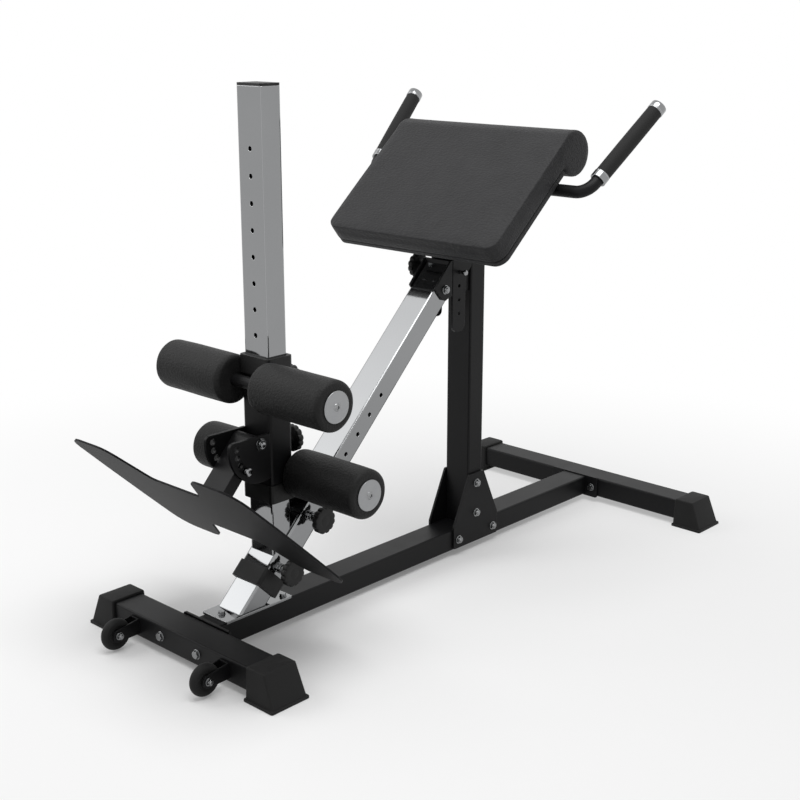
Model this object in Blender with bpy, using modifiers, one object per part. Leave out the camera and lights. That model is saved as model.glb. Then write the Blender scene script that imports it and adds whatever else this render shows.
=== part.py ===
"""Glute ham developer: a beam frame, a sliding mast with rollers and footplate, and a thigh pad.

Metres, +Z up. +X runs along the main beam from the wheel end to the pad end, and the frame is
symmetric about Y = 0. The origin is on the floor in the middle of the frame's length.
Places in the tables below are measured along X from the centre of the rear crossbeam, and
frame_point() moves them to the model's own origin.
"""
import math

import bmesh
import bpy
from mathutils import Matrix, Vector

# Clearances: touching pieces, tube in sleeve, shaft in bore, pin in hole
GAP = 0.0003
SLIDE_CLEARANCE = 0.0005
BORE_CLEARANCE = 0.0004
HOLE_CLEARANCE = 0.0004

# Rectangular steel tube that the beams, upright, rail and mast share
TUBE_WIDE = 0.070
TUBE_NARROW = 0.050
TUBE_WALL = 0.003
TUBE_ROUND = 0.004

# Base frame
BASE_LENGTH = 1.325
BEAM_CLEARANCE = 0.015
REAR_HALF_SPAN = 0.2605
FRONT_HALF_SPAN = 0.3586
FLANGE_THICKNESS = 0.005
FLANGE_HALF_WIDTH = 0.072
FLANGE_HEIGHT = 0.055
FLANGE_DROP = 0.0025
FLANGE_ROUND = 0.004

# Rubber feet over the crossbeam ends
FOOT_WALL = 0.0055
FOOT_TOP_LENGTH = 0.049
FOOT_SPREAD = 0.007
FOOT_END_SLOPE = 0.029
FOOT_BACK_SLOPE = 0.003
FOOT_LIP = 0.004
FOOT_LIP_HEIGHT = 0.006
FOOT_ROUND = 0.003

# Transport wheels
WHEEL_RADIUS = 0.033
WHEEL_WIDTH = 0.020
WHEEL_ROUND = 0.008
WHEEL_REACH = 0.0495
WHEEL_FLOOR_CLEARANCE = 0.0025
WHEEL_TRACK_HALF = 0.1413
FORK_PLATE = 0.0025
FORK_SIDE_CLEARANCE = 0.0006
FORK_ROOT_HEIGHT = 0.033
FORK_EYE = 0.0135
AXLE_BOLT_RADIUS = 0.004

# Upright, its side plates and their bolts
UPRIGHT_X = 0.829
UPRIGHT_TOP = 0.760
GUSSET_THICKNESS = 0.005
GUSSET_HALF_FOOT = 0.080
GUSSET_HALF_HEAD = 0.026
GUSSET_SHOULDER = 0.073
GUSSET_TOP = 0.192
GUSSET_BOTTOM = 0.0185
GUSSET_ROUND = 0.004
GUSSET_BOLT_RADIUS = 0.005
BEAM_BOLT_SPREAD = 0.0627
UPRIGHT_BOLT_HEIGHTS = {"lower": 0.0913, "upper": 0.1663}

# Slide rail: leans back at 45 degrees, so one unit along it is 0.7071 in X and in Z
RAIL_ANGLE = math.radians(45)
RAIL_OFFSET = 0.0422
RAIL_TOP_X = 0.7271
RAIL_HOLE_COUNT = 12
RAIL_HOLE_SPACING = 0.051
RAIL_FIRST_HOLE = 0.6765
PIN_HOLE_RADIUS = 0.00525
RAIL_PLATE_SETBACK = 0.022
RAIL_PLATE_LENGTH = 0.177
RAIL_PLATE_HALF = 0.0385
RAIL_PLATE_THICKNESS = 0.005
RAIL_PLATE_ROUND = 0.003

# Sleeves that slide on the rail and on the mast, with plastic end collars
SLEEVE_WALL = 0.0045
SLEEVE_LENGTH = 0.3015
COLLAR_LENGTH = 0.038
COLLAR_WALL = 0.003
COLLAR_LIP = 0.003
RAIL_SLEEVE_START = 0.188
BOSS_RADIUS = 0.011
BOSS_LENGTH = 0.008

# Mast
MAST_X = 0.2135
MAST_TOP = 1.1105
MAST_CAP = 0.005
MAST_CAP_PLUG = 0.012
MAST_HOLE_COUNT = 10
MAST_HOLE_SPACING = 0.052
MAST_TOP_HOLE = 0.994
MAST_SLEEVE_START = 0.287

# Star knobs and their screws and spring pins
KNOB_RADIUS = 0.0285
KNOB_THICKNESS = 0.016
KNOB_STEM = 0.026
KNOB_LOBES = 12
KNOB_LOBE_DEPTH = 0.0022
STEM_RADIUS = 0.0065
PIN_RADIUS = 0.0049
PIN_TRAVEL = 0.010
RAIL_CLAMP_ALONG = 0.2439
MAST_CLAMP_Z = 0.398
MAST_PIN_HOLE = 9
RAIL_PIN_HOLE = 6

# Foam rollers on their axles
ROLLER_RADIUS = 0.0517
ROLLER_LENGTH = 0.2002
ROLLER_CLEARANCE = 0.0007
ROLLER_ROUND = 0.012
AXLE_RADIUS = 0.0127
AXLE_CAP_RADIUS = 0.0317
AXLE_CAP_THICKNESS = 0.002
BUTTON_HEIGHT = 0.004
BUTTON_RADIUS = 0.008
BUTTON_FACE = 0.0055
UPPER_AXLE_Z = 0.5359
LOWER_AXLE_Z = 0.3386

# Footplate bracket, arm and footplate
BRACKET_PLATE = 0.007
PIVOT_X = 0.159
PIVOT_Z = 0.4205
PIVOT_RADIUS = 0.006
BRACKET_TOP = 0.4373
BRACKET_REACH = 0.0795
BRACKET_ROUND = 0.010
TILT_CIRCLE = 0.062
TILT_FIRST = math.radians(227.1)
TILT_STEP = math.radians(16.6)
TILT_HOLES = 4
TILT_HOLE_RADIUS = 0.0066
TILT_PIN_RADIUS = 0.0062
TILT_PIN_HEAD_RADIUS = 0.0080
TILT_PIN_STEM = 0.0075
TILT_PIN_HEAD = 0.005
TILT_PIN_DOME = 0.0015
ARM_CLEARANCE = 0.002
ARM_THICKNESS = 0.0275
ARM_WALL = 0.003
ARM_HOLLOW_START = 0.085
FOOTPLATE_REACH = 0.164
FOOTPLATE_THICKNESS = 0.004
FOOTPLATE_WAIST = 0.096
FOOTPLATE_WAIST_HALF = 0.062
FOOTPLATE_LOBE = 0.191
FOOTPLATE_LOBE_START = 0.150
FOOTPLATE_HALF_WIDTH = 0.263
FOOTPLATE_ROUND = 0.045
FOOTPLATE_NECK_ROUND = 0.020
FOOTPLATE_SIDE_ROUND = 0.060
FOOTPLATE_SIDE_DRAW = 0.006
FOOTPLATE_LOBE_DRAW = 0.020
FOOTPLATE_NECK_GROWTH = 0.012

# Bracket that holds the rail's top end, with its stub tube on the upright
CLEVIS_PLATE = 0.0045
CLEVIS_WEB = 0.0056
CLEVIS_BOLT_X = 0.710
CLEVIS_BOLT_Z = 0.651
CLEVIS_TAIL = 0.0342
CLEVIS_TAIL_RISE = 0.0058
CLEVIS_HEEL = 0.0089
CLEVIS_HEEL_DROP = 0.0228
CLEVIS_TOE = 0.0012
CLEVIS_TOE_DROP = 0.0255
CLEVIS_RISE = 0.079
CLEVIS_ROUND = 0.004
STUB_HALF_WIDTH = 0.0285
STUB_BOTTOM = 0.633
STUB_HEIGHT = 0.072
STUB_WALL = 0.003

# Pad carrier: a post in the upright and two straps beside the stub
PAD_HOLE_X = 0.7625
PAD_HOLE_Z = 0.6833
PAD_HOLE_SPACING = 0.0315
PAD_HOLES = 4
PAD_PIN_RADIUS = 0.004
STRAP_THICKNESS = 0.0065
STRAP_HALF_WIDTH = 0.0215
STRAP_BOTTOM = 0.5673
STRAP_SHOULDER = 0.672
STRAP_ROUND = 0.018
STRAP_NECK_ROUND = 0.004
FAR_STRAP_HALF_WIDTH = 0.0150
FAR_STRAP_END = 0.572
FAR_STRAP_ROUND = 0.012
POST_BOTTOM = 0.600
LOCK_PIN_STEM = 0.020
LOCK_BALL_HEIGHT = 0.009
PAD_KNOB_BACK = 0.080

# Pad, board and mounting plate, in the pad's own sloping frame: along the slope, and above it
PAD_ANGLE = math.radians(41)
PAD_HALF_WIDTH = 0.248
PAD_START = 0.9745
PAD_TOP = 0.180
BOARD_TOP = 0.134
BOARD_THICKNESS = 0.0135
BOARD_END = 1.240
BOARD_MARGIN = 0.003
BOARD_ROUND = 0.030
ROLL_RADIUS = 0.050
ROLL_CENTRE = 1.2998
CUSHION_STATIONS = (-1.0, -0.86, 0.0, 0.86, 1.0)
CUSHION_DRAW_IN = 0.006
CUSHION_SIDE_GROWTH = 0.0015
CUSHION_CROWN = 0.004
CUSHION_ROUND_GROWTH = 1.108
CUSHION_ROLL_NECK = 0.006
CUSHION_FRONT_SWELL = 0.055
CUSHION_MIDDLE = 0.155
CUSHION_NECK_SWELL = 0.034
MOUNT_PLATE_THICKNESS = 0.0057
MOUNT_PLATE_START = 1.020
MOUNT_PLATE_END = 1.188
MOUNT_PLATE_HALF = 0.090
MOUNT_PLATE_ROUND = 0.010

# Handles
HANDLE_RADIUS = 0.0135
HANDLE_ALONG = 1.2125
HANDLE_BEND = 0.036
HANDLE_HALF_SPAN = 0.3155
HANDLE_FLARE = 0.0405
HANDLE_REACH = 0.2625
GRIP_RADIUS = 0.016
GRIP_SETBACK = 0.0015
GRIP_RING_RADIUS = 0.019
GRIP_RING_LENGTH = 0.018

# Fasteners
BOLT_HEAD_HEIGHT = 0.0065
BOLT_HEAD_SPREAD = 1.75
BOLT_END = 0.003

# Worked out from the sizes above
BEAM_TOP = BEAM_CLEARANCE + TUBE_NARROW
BEAM_MIDDLE = BEAM_CLEARANCE + TUBE_NARROW / 2
FOOT_HALF = TUBE_WIDE / 2 + GAP + FOOT_WALL
WHEEL_X = -TUBE_WIDE / 2 - WHEEL_REACH
WHEEL_Z = WHEEL_RADIUS + WHEEL_FLOOR_CLEARANCE
REAR_END = WHEEL_X - WHEEL_RADIUS
FRONT_END = BASE_LENGTH + FOOT_HALF + FOOT_SPREAD
MIDDLE_X = (REAR_END + FRONT_END) / 2
SLEEVE_GROWTH = 2 * (SLIDE_CLEARANCE + SLEEVE_WALL)
SLEEVE_WIDE = TUBE_WIDE + SLEEVE_GROWTH
SLEEVE_NARROW = TUBE_NARROW + SLEEVE_GROWTH
RAIL_PLATE_TOP = BEAM_TOP + GAP + RAIL_PLATE_THICKNESS
RAIL_PIN_ALONG = RAIL_FIRST_HOLE - RAIL_PIN_HOLE * RAIL_HOLE_SPACING
MAST_PIN_Z = MAST_TOP_HOLE - MAST_PIN_HOLE * MAST_HOLE_SPACING
BRACKET_OUTER = SLEEVE_WIDE / 2
ARM_WIDTH = 2 * (BRACKET_OUTER - BRACKET_PLATE - ARM_CLEARANCE)
ROLLER_INNER_END = SLEEVE_WIDE / 2 + GAP + COLLAR_WALL + ROLLER_CLEARANCE
MOUNT_PLATE_TOP = BOARD_TOP - BOARD_THICKNESS - GAP
MOUNT_PLATE_BOTTOM = MOUNT_PLATE_TOP - MOUNT_PLATE_THICKNESS
HANDLE_OFF = BOARD_TOP - BOARD_THICKNESS - GAP - HANDLE_RADIUS
HANDLE_TIP = HANDLE_ALONG + HANDLE_REACH
GRIP_START = HANDLE_ALONG + HANDLE_BEND + GRIP_SETBACK
STRAP_INNER = STUB_HALF_WIDTH + SLIDE_CLEARANCE
POST_TOP_OFF = HANDLE_OFF - HANDLE_RADIUS - GAP

# How finely rounds are drawn
HOLE_SIDES = 12
CORNER_STEPS = 2
TURNED_SIDES = 20
KNOB_SIDES = 4 * KNOB_LOBES

# Turns that lay a shape's own Z along another axis
Z_TO_Y = (-math.pi / 2, 0, 0)
Z_TO_MINUS_Y = (math.pi / 2, 0, 0)
Z_TO_X = (0, math.pi / 2, 0)
FLAT_TO_XZ = (math.pi / 2, 0, 0)
FLAT_TO_YZ = (math.pi / 2, 0, math.pi / 2)

# Colour, roughness and metallic value of each finish
FINISHES = {
    "black_steel": ((0.030, 0.030, 0.032), 0.42, 0.0),
    "chrome": ((0.80, 0.80, 0.80), 0.08, 1.0),
    "zinc": ((0.62, 0.62, 0.60), 0.30, 1.0),
    "black_plastic": ((0.018, 0.018, 0.019), 0.45, 0.0),
    "black_rubber": ((0.022, 0.022, 0.022), 0.75, 0.0),
    "foam": ((0.020, 0.020, 0.021), 0.65, 0.0),
    "vinyl": ((0.024, 0.024, 0.026), 0.55, 0.0),
    "board": ((0.045, 0.045, 0.045), 0.80, 0.0),
}


def frame_point(x, y, z):
    """Return the model's own point for a place measured from the rear crossbeam."""
    return Vector((x - MIDDLE_X, y, z))


def clear_scene():
    """Remove every object that is already there."""
    for old in list(bpy.data.objects):
        bpy.data.objects.remove(old, do_unlink=True)


def new_collection(name):
    """Make a collection in the scene."""
    collection = bpy.data.collections.new(name)
    bpy.context.scene.collection.children.link(collection)
    return collection


clear_scene()
PARTS = new_collection("glute_ham_developer")
CUTTERS = new_collection("cutters")


def new_material(name, finish):
    """Make a Principled material in one of the finishes."""
    colour, roughness, metallic = FINISHES[finish]
    material = bpy.data.materials.new(name)
    material.use_nodes = True
    shader = material.node_tree.nodes["Principled BSDF"]
    shader.inputs["Base Color"].default_value = (*colour, 1.0)
    shader.inputs["Roughness"].default_value = roughness
    shader.inputs["Metallic"].default_value = metallic
    material.diffuse_color = (*colour, 1.0)
    return material


def add_part(name, mesh, finish, location=(0, 0, 0), rotation=(0, 0, 0), parent=None, sharp=30):
    """Put a mesh in the parts collection as one named piece."""
    piece = bpy.data.objects.new(name, mesh)
    mesh.materials.append(new_material(f"{name}_{finish}", finish))
    mesh.shade_smooth()
    mesh.set_sharp_from_angle(angle=math.radians(sharp))
    piece.location = location
    piece.rotation_euler = rotation
    piece.parent = parent
    PARTS.objects.link(piece)
    return piece


def add_empty(name, location, rotation=(0, 0, 0), parent=None):
    """Add the axes that a group of pieces is placed in."""
    empty = bpy.data.objects.new(name, None)
    empty.empty_display_size = 0.05
    empty.location = location
    empty.rotation_euler = rotation
    empty.parent = parent
    PARTS.objects.link(empty)
    return empty


def boolean(piece, mesh, operation="DIFFERENCE", location=(0, 0, 0), rotation=(0, 0, 0), parent=None):
    """Cut a mesh out of a piece, or weld it on."""
    cutter = bpy.data.objects.new(f"{piece.name}_{operation.lower()}", mesh)
    cutter.location = location
    cutter.rotation_euler = rotation
    cutter.parent = parent
    cutter.hide_render = True
    cutter.display_type = "WIRE"
    CUTTERS.objects.link(cutter)
    modifier = piece.modifiers.new(operation.title(), "BOOLEAN")
    modifier.operation = operation
    modifier.solver = "EXACT"
    modifier.object = cutter


def arc(centre, radius, start, end, steps):
    """Points on an arc, both ends included."""
    turns = (start + (end - start) * i / steps for i in range(steps + 1))
    return [(centre[0] + radius * math.cos(t), centre[1] + radius * math.sin(t)) for t in turns]


def circle(radius, centre=(0, 0), sides=HOLE_SIDES):
    """Points round a circle."""
    return arc(centre, radius, 0, 2 * math.pi * (sides - 1) / sides, sides - 1)


def rounded(points, radius, steps=4):
    """Round each corner of an outline, with one radius or one for each corner."""
    radii = radius if isinstance(radius, (list, tuple)) else [radius] * len(points)
    outline = []
    for i, corner in enumerate(points):
        here = Vector(corner)
        back = (Vector(points[i - 1]) - here).normalized()
        ahead = (Vector(points[(i + 1) % len(points)]) - here).normalized()
        if radii[i] <= 0:
            outline.append(tuple(here))
            continue
        half = back.angle(ahead) / 2
        centre = here + (back + ahead).normalized() * radii[i] / math.sin(half)
        first = here + back * radii[i] / math.tan(half) - centre
        last = here + ahead * radii[i] / math.tan(half) - centre
        sweep = math.atan2(first.x * last.y - first.y * last.x, first.dot(last))
        begin = math.atan2(first.y, first.x)
        outline += arc(centre, radii[i], begin, begin + sweep, steps)
    return outline


def rectangle(width, height, radius=0.0, steps=CORNER_STEPS):
    """Outline of a rectangle about its own centre."""
    w, h = width / 2, height / 2
    return rounded([(-w, -h), (w, -h), (w, h), (-w, h)], radius, steps)


def tube_section(width, height, wall, radius):
    """Outer and inner outline of a rectangular tube."""
    inner_round = max(radius - wall, wall / 3)
    return [rectangle(width, height, radius), rectangle(width - 2 * wall, height - 2 * wall, inner_round)]


def extruded(outlines, thickness, start=None):
    """Solid between two flat copies of an outline; outlines after the first are holes.

    It spans Z from start to start + thickness, or lies about Z = 0 without a start.
    """
    curve = bpy.data.curves.new("outline", "CURVE")
    curve.dimensions = "2D"
    curve.fill_mode = "BOTH"
    curve.extrude = thickness / 2
    for outline in outlines:
        spline = curve.splines.new("POLY")
        spline.points.add(len(outline) - 1)
        for point, (x, y) in zip(spline.points, outline):
            point.co = (x, y, 0, 1)
        spline.use_cyclic_u = True
    mesh = mesh_of_curve(curve)
    if start is not None:
        mesh.transform(Matrix.Translation((0, 0, start + thickness / 2)))
    return mesh


def mesh_of_curve(curve):
    """Turn a curve into a mesh with its caps welded on, and remove the curve."""
    drawn = bpy.data.objects.new("drawn", curve)
    bpy.context.scene.collection.objects.link(drawn)
    bpy.context.view_layer.update()
    depsgraph = bpy.context.evaluated_depsgraph_get()
    mesh = bpy.data.meshes.new_from_object(drawn.evaluated_get(depsgraph))
    bpy.data.objects.remove(drawn, do_unlink=True)
    bpy.data.curves.remove(curve)
    bm = bmesh.new()
    bm.from_mesh(mesh)
    bmesh.ops.remove_doubles(bm, verts=bm.verts, dist=1e-6)
    bmesh.ops.recalc_face_normals(bm, faces=bm.faces)
    bm.to_mesh(mesh)
    bm.free()
    return mesh


def mitre(mesh, old_z, slope, new_z):
    """Move the end at old_z onto the plane z = new_z + slope * x."""
    for vertex in mesh.vertices:
        if abs(vertex.co.z - old_z) < 1e-5:
            vertex.co.z = new_z + slope * vertex.co.x


def block(size, bevel=0.0, segments=2, centre=(0, 0, 0)):
    """Box with its edges rounded."""
    bm = bmesh.new()
    bmesh.ops.create_cube(bm, size=1.0)
    bmesh.ops.scale(bm, vec=size, verts=bm.verts)
    bmesh.ops.translate(bm, vec=centre, verts=bm.verts)
    if bevel:
        bmesh.ops.bevel(bm, geom=bm.edges[:], offset=bevel, segments=segments, affect="EDGES", profile=0.5)
    mesh = bpy.data.meshes.new("block")
    bm.to_mesh(mesh)
    bm.free()
    return mesh


def rods(radius, depth, centres, rotation=(0, 0, 0), sides=HOLE_SIDES):
    """Round rods of one size, side by side, for cutting holes."""
    bm = bmesh.new()
    turn = Matrix.Rotation(rotation[1], 4, "Y") @ Matrix.Rotation(rotation[0], 4, "X")
    for centre in centres:
        bmesh.ops.create_cone(bm, cap_ends=True, segments=sides, radius1=radius, radius2=radius,
                              depth=depth, matrix=Matrix.Translation(centre) @ turn)
    mesh = bpy.data.meshes.new("rods")
    bm.to_mesh(mesh)
    bm.free()
    return mesh


def turned(name, profile, finish, sides=TURNED_SIDES, closed=True, **place):
    """Piece turned about Z from a profile of (radius, height) that runs down its outer side."""
    bm = bmesh.new()
    points = [bm.verts.new((radius, 0, height)) for radius, height in profile]
    for first, second in zip(points, points[1:]):
        bm.edges.new((first, second))
    if closed:
        bm.edges.new((points[-1], points[0]))
    mesh = bpy.data.meshes.new(name)
    bm.to_mesh(mesh)
    bm.free()
    piece = add_part(name, mesh, finish, **place)
    screw = piece.modifiers.new("Screw", "SCREW")
    screw.steps = sides
    screw.render_steps = sides
    screw.use_merge_vertices = True
    screw.merge_threshold = 1e-5
    return piece


def hexagon(turn):
    """Reach of a hexagon with corners at reach 1, at an angle."""
    return math.cos(math.pi / 6) / math.cos((turn % (math.pi / 3)) - math.pi / 6)


def star(turn):
    """Reach of a star knob with tips at reach 1, at an angle."""
    return 1 - KNOB_LOBE_DEPTH / KNOB_RADIUS * (0.5 - 0.5 * math.cos(KNOB_LOBES * turn))


def lofted(stations, sides):
    """Solid through stations of (height, reach, shape), where shape gives the reach by angle."""
    bm = bmesh.new()
    rings = []
    for height, reach, shape in stations:
        turns = [2 * math.pi * i / sides for i in range(sides)]
        reaches = [reach * (shape(turn) if shape else 1) for turn in turns]
        rings.append([bm.verts.new((r * math.cos(t), r * math.sin(t), height)) for t, r in zip(turns, reaches)])
    for lower, upper in zip(rings, rings[1:]):
        for i in range(sides):
            j = (i + 1) % sides
            bm.faces.new((lower[i], lower[j], upper[j], upper[i]))
    bm.faces.new(reversed(rings[0]))
    bm.faces.new(rings[-1])
    bmesh.ops.recalc_face_normals(bm, faces=bm.faces)
    mesh = bpy.data.meshes.new("lofted")
    bm.to_mesh(mesh)
    bm.free()
    return mesh


def through_bolt(radius, grip):
    """Bolt along Z about its middle: a hexagon head, a shank as long as the grip, and a nut."""
    head = radius * BOLT_HEAD_SPREAD
    half = grip / 2 + GAP
    return lofted([
        (-half - BOLT_HEAD_HEIGHT - BOLT_END, radius * 0.9, None),
        (-half - BOLT_HEAD_HEIGHT, radius * 0.9, None),
        (-half - BOLT_HEAD_HEIGHT, head, hexagon),
        (-half, head, hexagon),
        (-half, radius, None),
        (half, radius, None),
        (half, head, hexagon),
        (half + BOLT_HEAD_HEIGHT * 0.85, head, hexagon),
        (half + BOLT_HEAD_HEIGHT, head * 0.88, None),
    ], 12)


def knob(back, tip, tip_radius, shoulder=None):
    """Star knob about Z, with its back face at the height back and its stem down to the height tip."""
    front = back + KNOB_THICKNESS
    edge = KNOB_THICKNESS * 0.22
    shoulder = back if shoulder is None else shoulder
    return lofted([
        (tip, tip_radius, None),
        (shoulder, tip_radius, None),
        (shoulder, STEM_RADIUS, None),
        (back, STEM_RADIUS, None),
        (back, KNOB_RADIUS * 0.42, None),
        (back + edge, KNOB_RADIUS, star),
        (front - edge, KNOB_RADIUS, star),
        (front, KNOB_RADIUS * 0.84, star),
        (front + edge * 0.4, KNOB_RADIUS * 0.4, None),
    ], KNOB_SIDES)


def make_crossbeam(name, x, half_span):
    """Crossbeam with a rubber foot over each end."""
    half_length = half_span - FOOT_WALL
    beam = extruded(tube_section(TUBE_WIDE, TUBE_NARROW, TUBE_WALL, TUBE_ROUND), 2 * half_length)
    add_part(f"{name}_crossbeam", beam, "black_steel", frame_point(x, 0, BEAM_MIDDLE), FLAT_TO_XZ)
    for side, sign in (("left", 1), ("right", -1)):
        make_foot(f"foot_{name}_{side}", x, half_span, sign)


def make_foot(name, x, half_span, sign):
    """Rubber foot: a tapered cap on a thin lip, hollow where the beam's end goes in."""
    top = BEAM_TOP + FOOT_WALL - GAP
    inner, outer = half_span - FOOT_TOP_LENGTH, half_span
    base = (FOOT_HALF + FOOT_SPREAD, inner - FOOT_BACK_SLOPE, outer + FOOT_END_SLOPE)
    waist = (base[0] - FOOT_LIP, base[1] + FOOT_LIP * 0.5, base[2] - FOOT_LIP)
    crown = (FOOT_HALF, inner, outer)
    bm = bmesh.new()
    levels = [(0, base), (FOOT_LIP_HEIGHT, base), (FOOT_LIP_HEIGHT, waist), (top, crown)]
    rings = []
    for height, (half, near, far) in levels:
        corners = ((-half, near), (half, near), (half, far), (-half, far))
        rings.append([bm.verts.new((cx, cy * sign, height)) for cx, cy in corners])
    for lower, upper in zip(rings, rings[1:]):
        for i in range(4):
            j = (i + 1) % 4
            bm.faces.new((lower[i], lower[j], upper[j], upper[i]))
    bm.faces.new(rings[0])
    bm.faces.new(rings[-1])
    bmesh.ops.recalc_face_normals(bm, faces=bm.faces)
    body_edges = [e for e in bm.edges if max(v.co.z for v in e.verts) > FOOT_LIP_HEIGHT]
    bmesh.ops.bevel(bm, geom=body_edges, offset=FOOT_ROUND, segments=1, affect="EDGES", profile=0.5)
    mesh = bpy.data.meshes.new(name)
    bm.to_mesh(mesh)
    bm.free()
    foot = add_part(name, mesh, "black_rubber", frame_point(x, 0, 0))
    pocket_end = half_span - FOOT_WALL + GAP
    pocket_start = inner - FOOT_TOP_LENGTH / 2
    pocket = extruded([rectangle(TUBE_WIDE + 2 * GAP, TUBE_NARROW + 2 * GAP, TUBE_ROUND)],
                      pocket_end - pocket_start)
    middle = (pocket_end + pocket_start) / 2
    boolean(foot, pocket, location=frame_point(x, sign * middle, BEAM_MIDDLE), rotation=FLAT_TO_XZ)


def make_wheel(side, sign):
    """Transport wheel in its fork, on the rear crossbeam's outer face."""
    y = sign * WHEEL_TRACK_HALF
    inner_gap = WHEEL_WIDTH + 2 * FORK_SIDE_CLEARANCE
    width = inner_gap + 2 * FORK_PLATE
    face = -TUBE_WIDE / 2 - GAP
    root_low = BEAM_MIDDLE - FORK_ROOT_HEIGHT / 2
    root_high = BEAM_MIDDLE + FORK_ROOT_HEIGHT / 2
    eye = arc((WHEEL_X, WHEEL_Z), FORK_EYE, math.radians(100), math.radians(260), 8)
    side_view = [(face, root_low), (face, root_high)] + eye
    side_view = [(px - MIDDLE_X, pz) for px, pz in side_view]
    fork = add_part(f"wheel_fork_{side}", extruded([side_view], width), "black_steel", (0, y, 0), FLAT_TO_XZ)
    reach = WHEEL_REACH + FORK_EYE
    mouth = block((reach, inner_gap, 4 * WHEEL_RADIUS), centre=(-reach / 2, 0, 0))
    boolean(fork, mouth, location=frame_point(face - FORK_PLATE, y, WHEEL_Z))
    hole = rods(AXLE_BOLT_RADIUS + HOLE_CLEARANCE, width * 1.5, [(0, 0, 0)], Z_TO_Y)
    boolean(fork, hole, location=frame_point(WHEEL_X, y, WHEEL_Z))
    axle = through_bolt(AXLE_BOLT_RADIUS, width)
    add_part(f"wheel_axle_{side}", axle, "zinc", frame_point(WHEEL_X, y, WHEEL_Z), Z_TO_Y)
    half = WHEEL_WIDTH / 2
    bore = AXLE_BOLT_RADIUS + BORE_CLEARANCE
    tread = arc((WHEEL_RADIUS - WHEEL_ROUND, half - WHEEL_ROUND), WHEEL_ROUND, math.pi / 2, 0, 3)
    lower = arc((WHEEL_RADIUS - WHEEL_ROUND, WHEEL_ROUND - half), WHEEL_ROUND, 0, -math.pi / 2, 3)
    turned(f"wheel_{side}", [(bore, half)] + tread + lower + [(bore, -half)], "black_rubber",
           location=frame_point(WHEEL_X, y, WHEEL_Z), rotation=Z_TO_Y)


def make_base():
    """Crossbeams, feet, wheels, main beam and the flanges at its ends."""
    make_crossbeam("rear", 0, REAR_HALF_SPAN)
    make_crossbeam("front", BASE_LENGTH, FRONT_HALF_SPAN)
    make_wheel("left", 1)
    make_wheel("right", -1)
    flange_inner = TUBE_WIDE / 2 + GAP
    beam_start = flange_inner + FLANGE_THICKNESS + GAP
    length = BASE_LENGTH - 2 * beam_start
    section = tube_section(TUBE_WIDE, TUBE_NARROW, TUBE_WALL, TUBE_ROUND)
    beam = add_part("main_beam", extruded(section, length), "black_steel",
                    frame_point(BASE_LENGTH / 2, 0, BEAM_MIDDLE), FLAT_TO_YZ)
    places = [(UPRIGHT_X + sign * BEAM_BOLT_SPREAD - BASE_LENGTH / 2, 0, 0) for sign in (-1, 1)]
    holes = rods(GUSSET_BOLT_RADIUS + HOLE_CLEARANCE, 2 * TUBE_WIDE, places, Z_TO_Y)
    boolean(beam, holes, location=frame_point(BASE_LENGTH / 2, 0, BEAM_MIDDLE))
    flange = rectangle(2 * FLANGE_HALF_WIDTH, FLANGE_HEIGHT, FLANGE_ROUND)
    centre_z = BEAM_CLEARANCE - FLANGE_DROP + FLANGE_HEIGHT / 2
    for name, x in (("rear_flange", flange_inner), ("front_flange", BASE_LENGTH - flange_inner - FLANGE_THICKNESS)):
        add_part(name, extruded([flange], FLANGE_THICKNESS, 0), "black_steel",
                 frame_point(x, 0, centre_z), FLAT_TO_YZ)


def make_upright():
    """Upright with its two side plates and the four bolts through them."""
    section = tube_section(TUBE_NARROW, TUBE_WIDE, TUBE_WALL, TUBE_ROUND)
    bottom = BEAM_TOP + GAP
    upright = add_part("upright", extruded(section, UPRIGHT_TOP - bottom, bottom), "black_steel",
                       frame_point(UPRIGHT_X, 0, 0))
    heights = [(0, 0, z) for z in UPRIGHT_BOLT_HEIGHTS.values()]
    boolean(upright, rods(GUSSET_BOLT_RADIUS + HOLE_CLEARANCE, 2 * TUBE_WIDE, heights, Z_TO_Y),
            location=frame_point(UPRIGHT_X, 0, 0))
    outline = rounded([
        (-GUSSET_HALF_FOOT, GUSSET_BOTTOM), (GUSSET_HALF_FOOT, GUSSET_BOTTOM),
        (GUSSET_HALF_FOOT, GUSSET_SHOULDER), (GUSSET_HALF_HEAD, GUSSET_TOP),
        (-GUSSET_HALF_HEAD, GUSSET_TOP), (-GUSSET_HALF_FOOT, GUSSET_SHOULDER)], GUSSET_ROUND, 3)
    bolt_places = {"upright_bolt_lower": (0, UPRIGHT_BOLT_HEIGHTS["lower"]),
                   "upright_bolt_upper": (0, UPRIGHT_BOLT_HEIGHTS["upper"]),
                   "beam_bolt_rear": (-BEAM_BOLT_SPREAD, BEAM_MIDDLE),
                   "beam_bolt_front": (BEAM_BOLT_SPREAD, BEAM_MIDDLE)}
    holes = [circle(GUSSET_BOLT_RADIUS + HOLE_CLEARANCE, place) for place in bolt_places.values()]
    inner = TUBE_WIDE / 2 + GAP
    for side, start in (("left", -inner - GUSSET_THICKNESS), ("right", inner)):
        plate = extruded([outline] + holes, GUSSET_THICKNESS, start)
        add_part(f"gusset_{side}", plate, "black_steel", frame_point(UPRIGHT_X, 0, 0), FLAT_TO_XZ)
    grip = 2 * (inner + GUSSET_THICKNESS)
    for name, (dx, z) in bolt_places.items():
        add_part(name, through_bolt(GUSSET_BOLT_RADIUS, grip), "zinc",
                 frame_point(UPRIGHT_X + dx, 0, z), Z_TO_Y)


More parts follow.
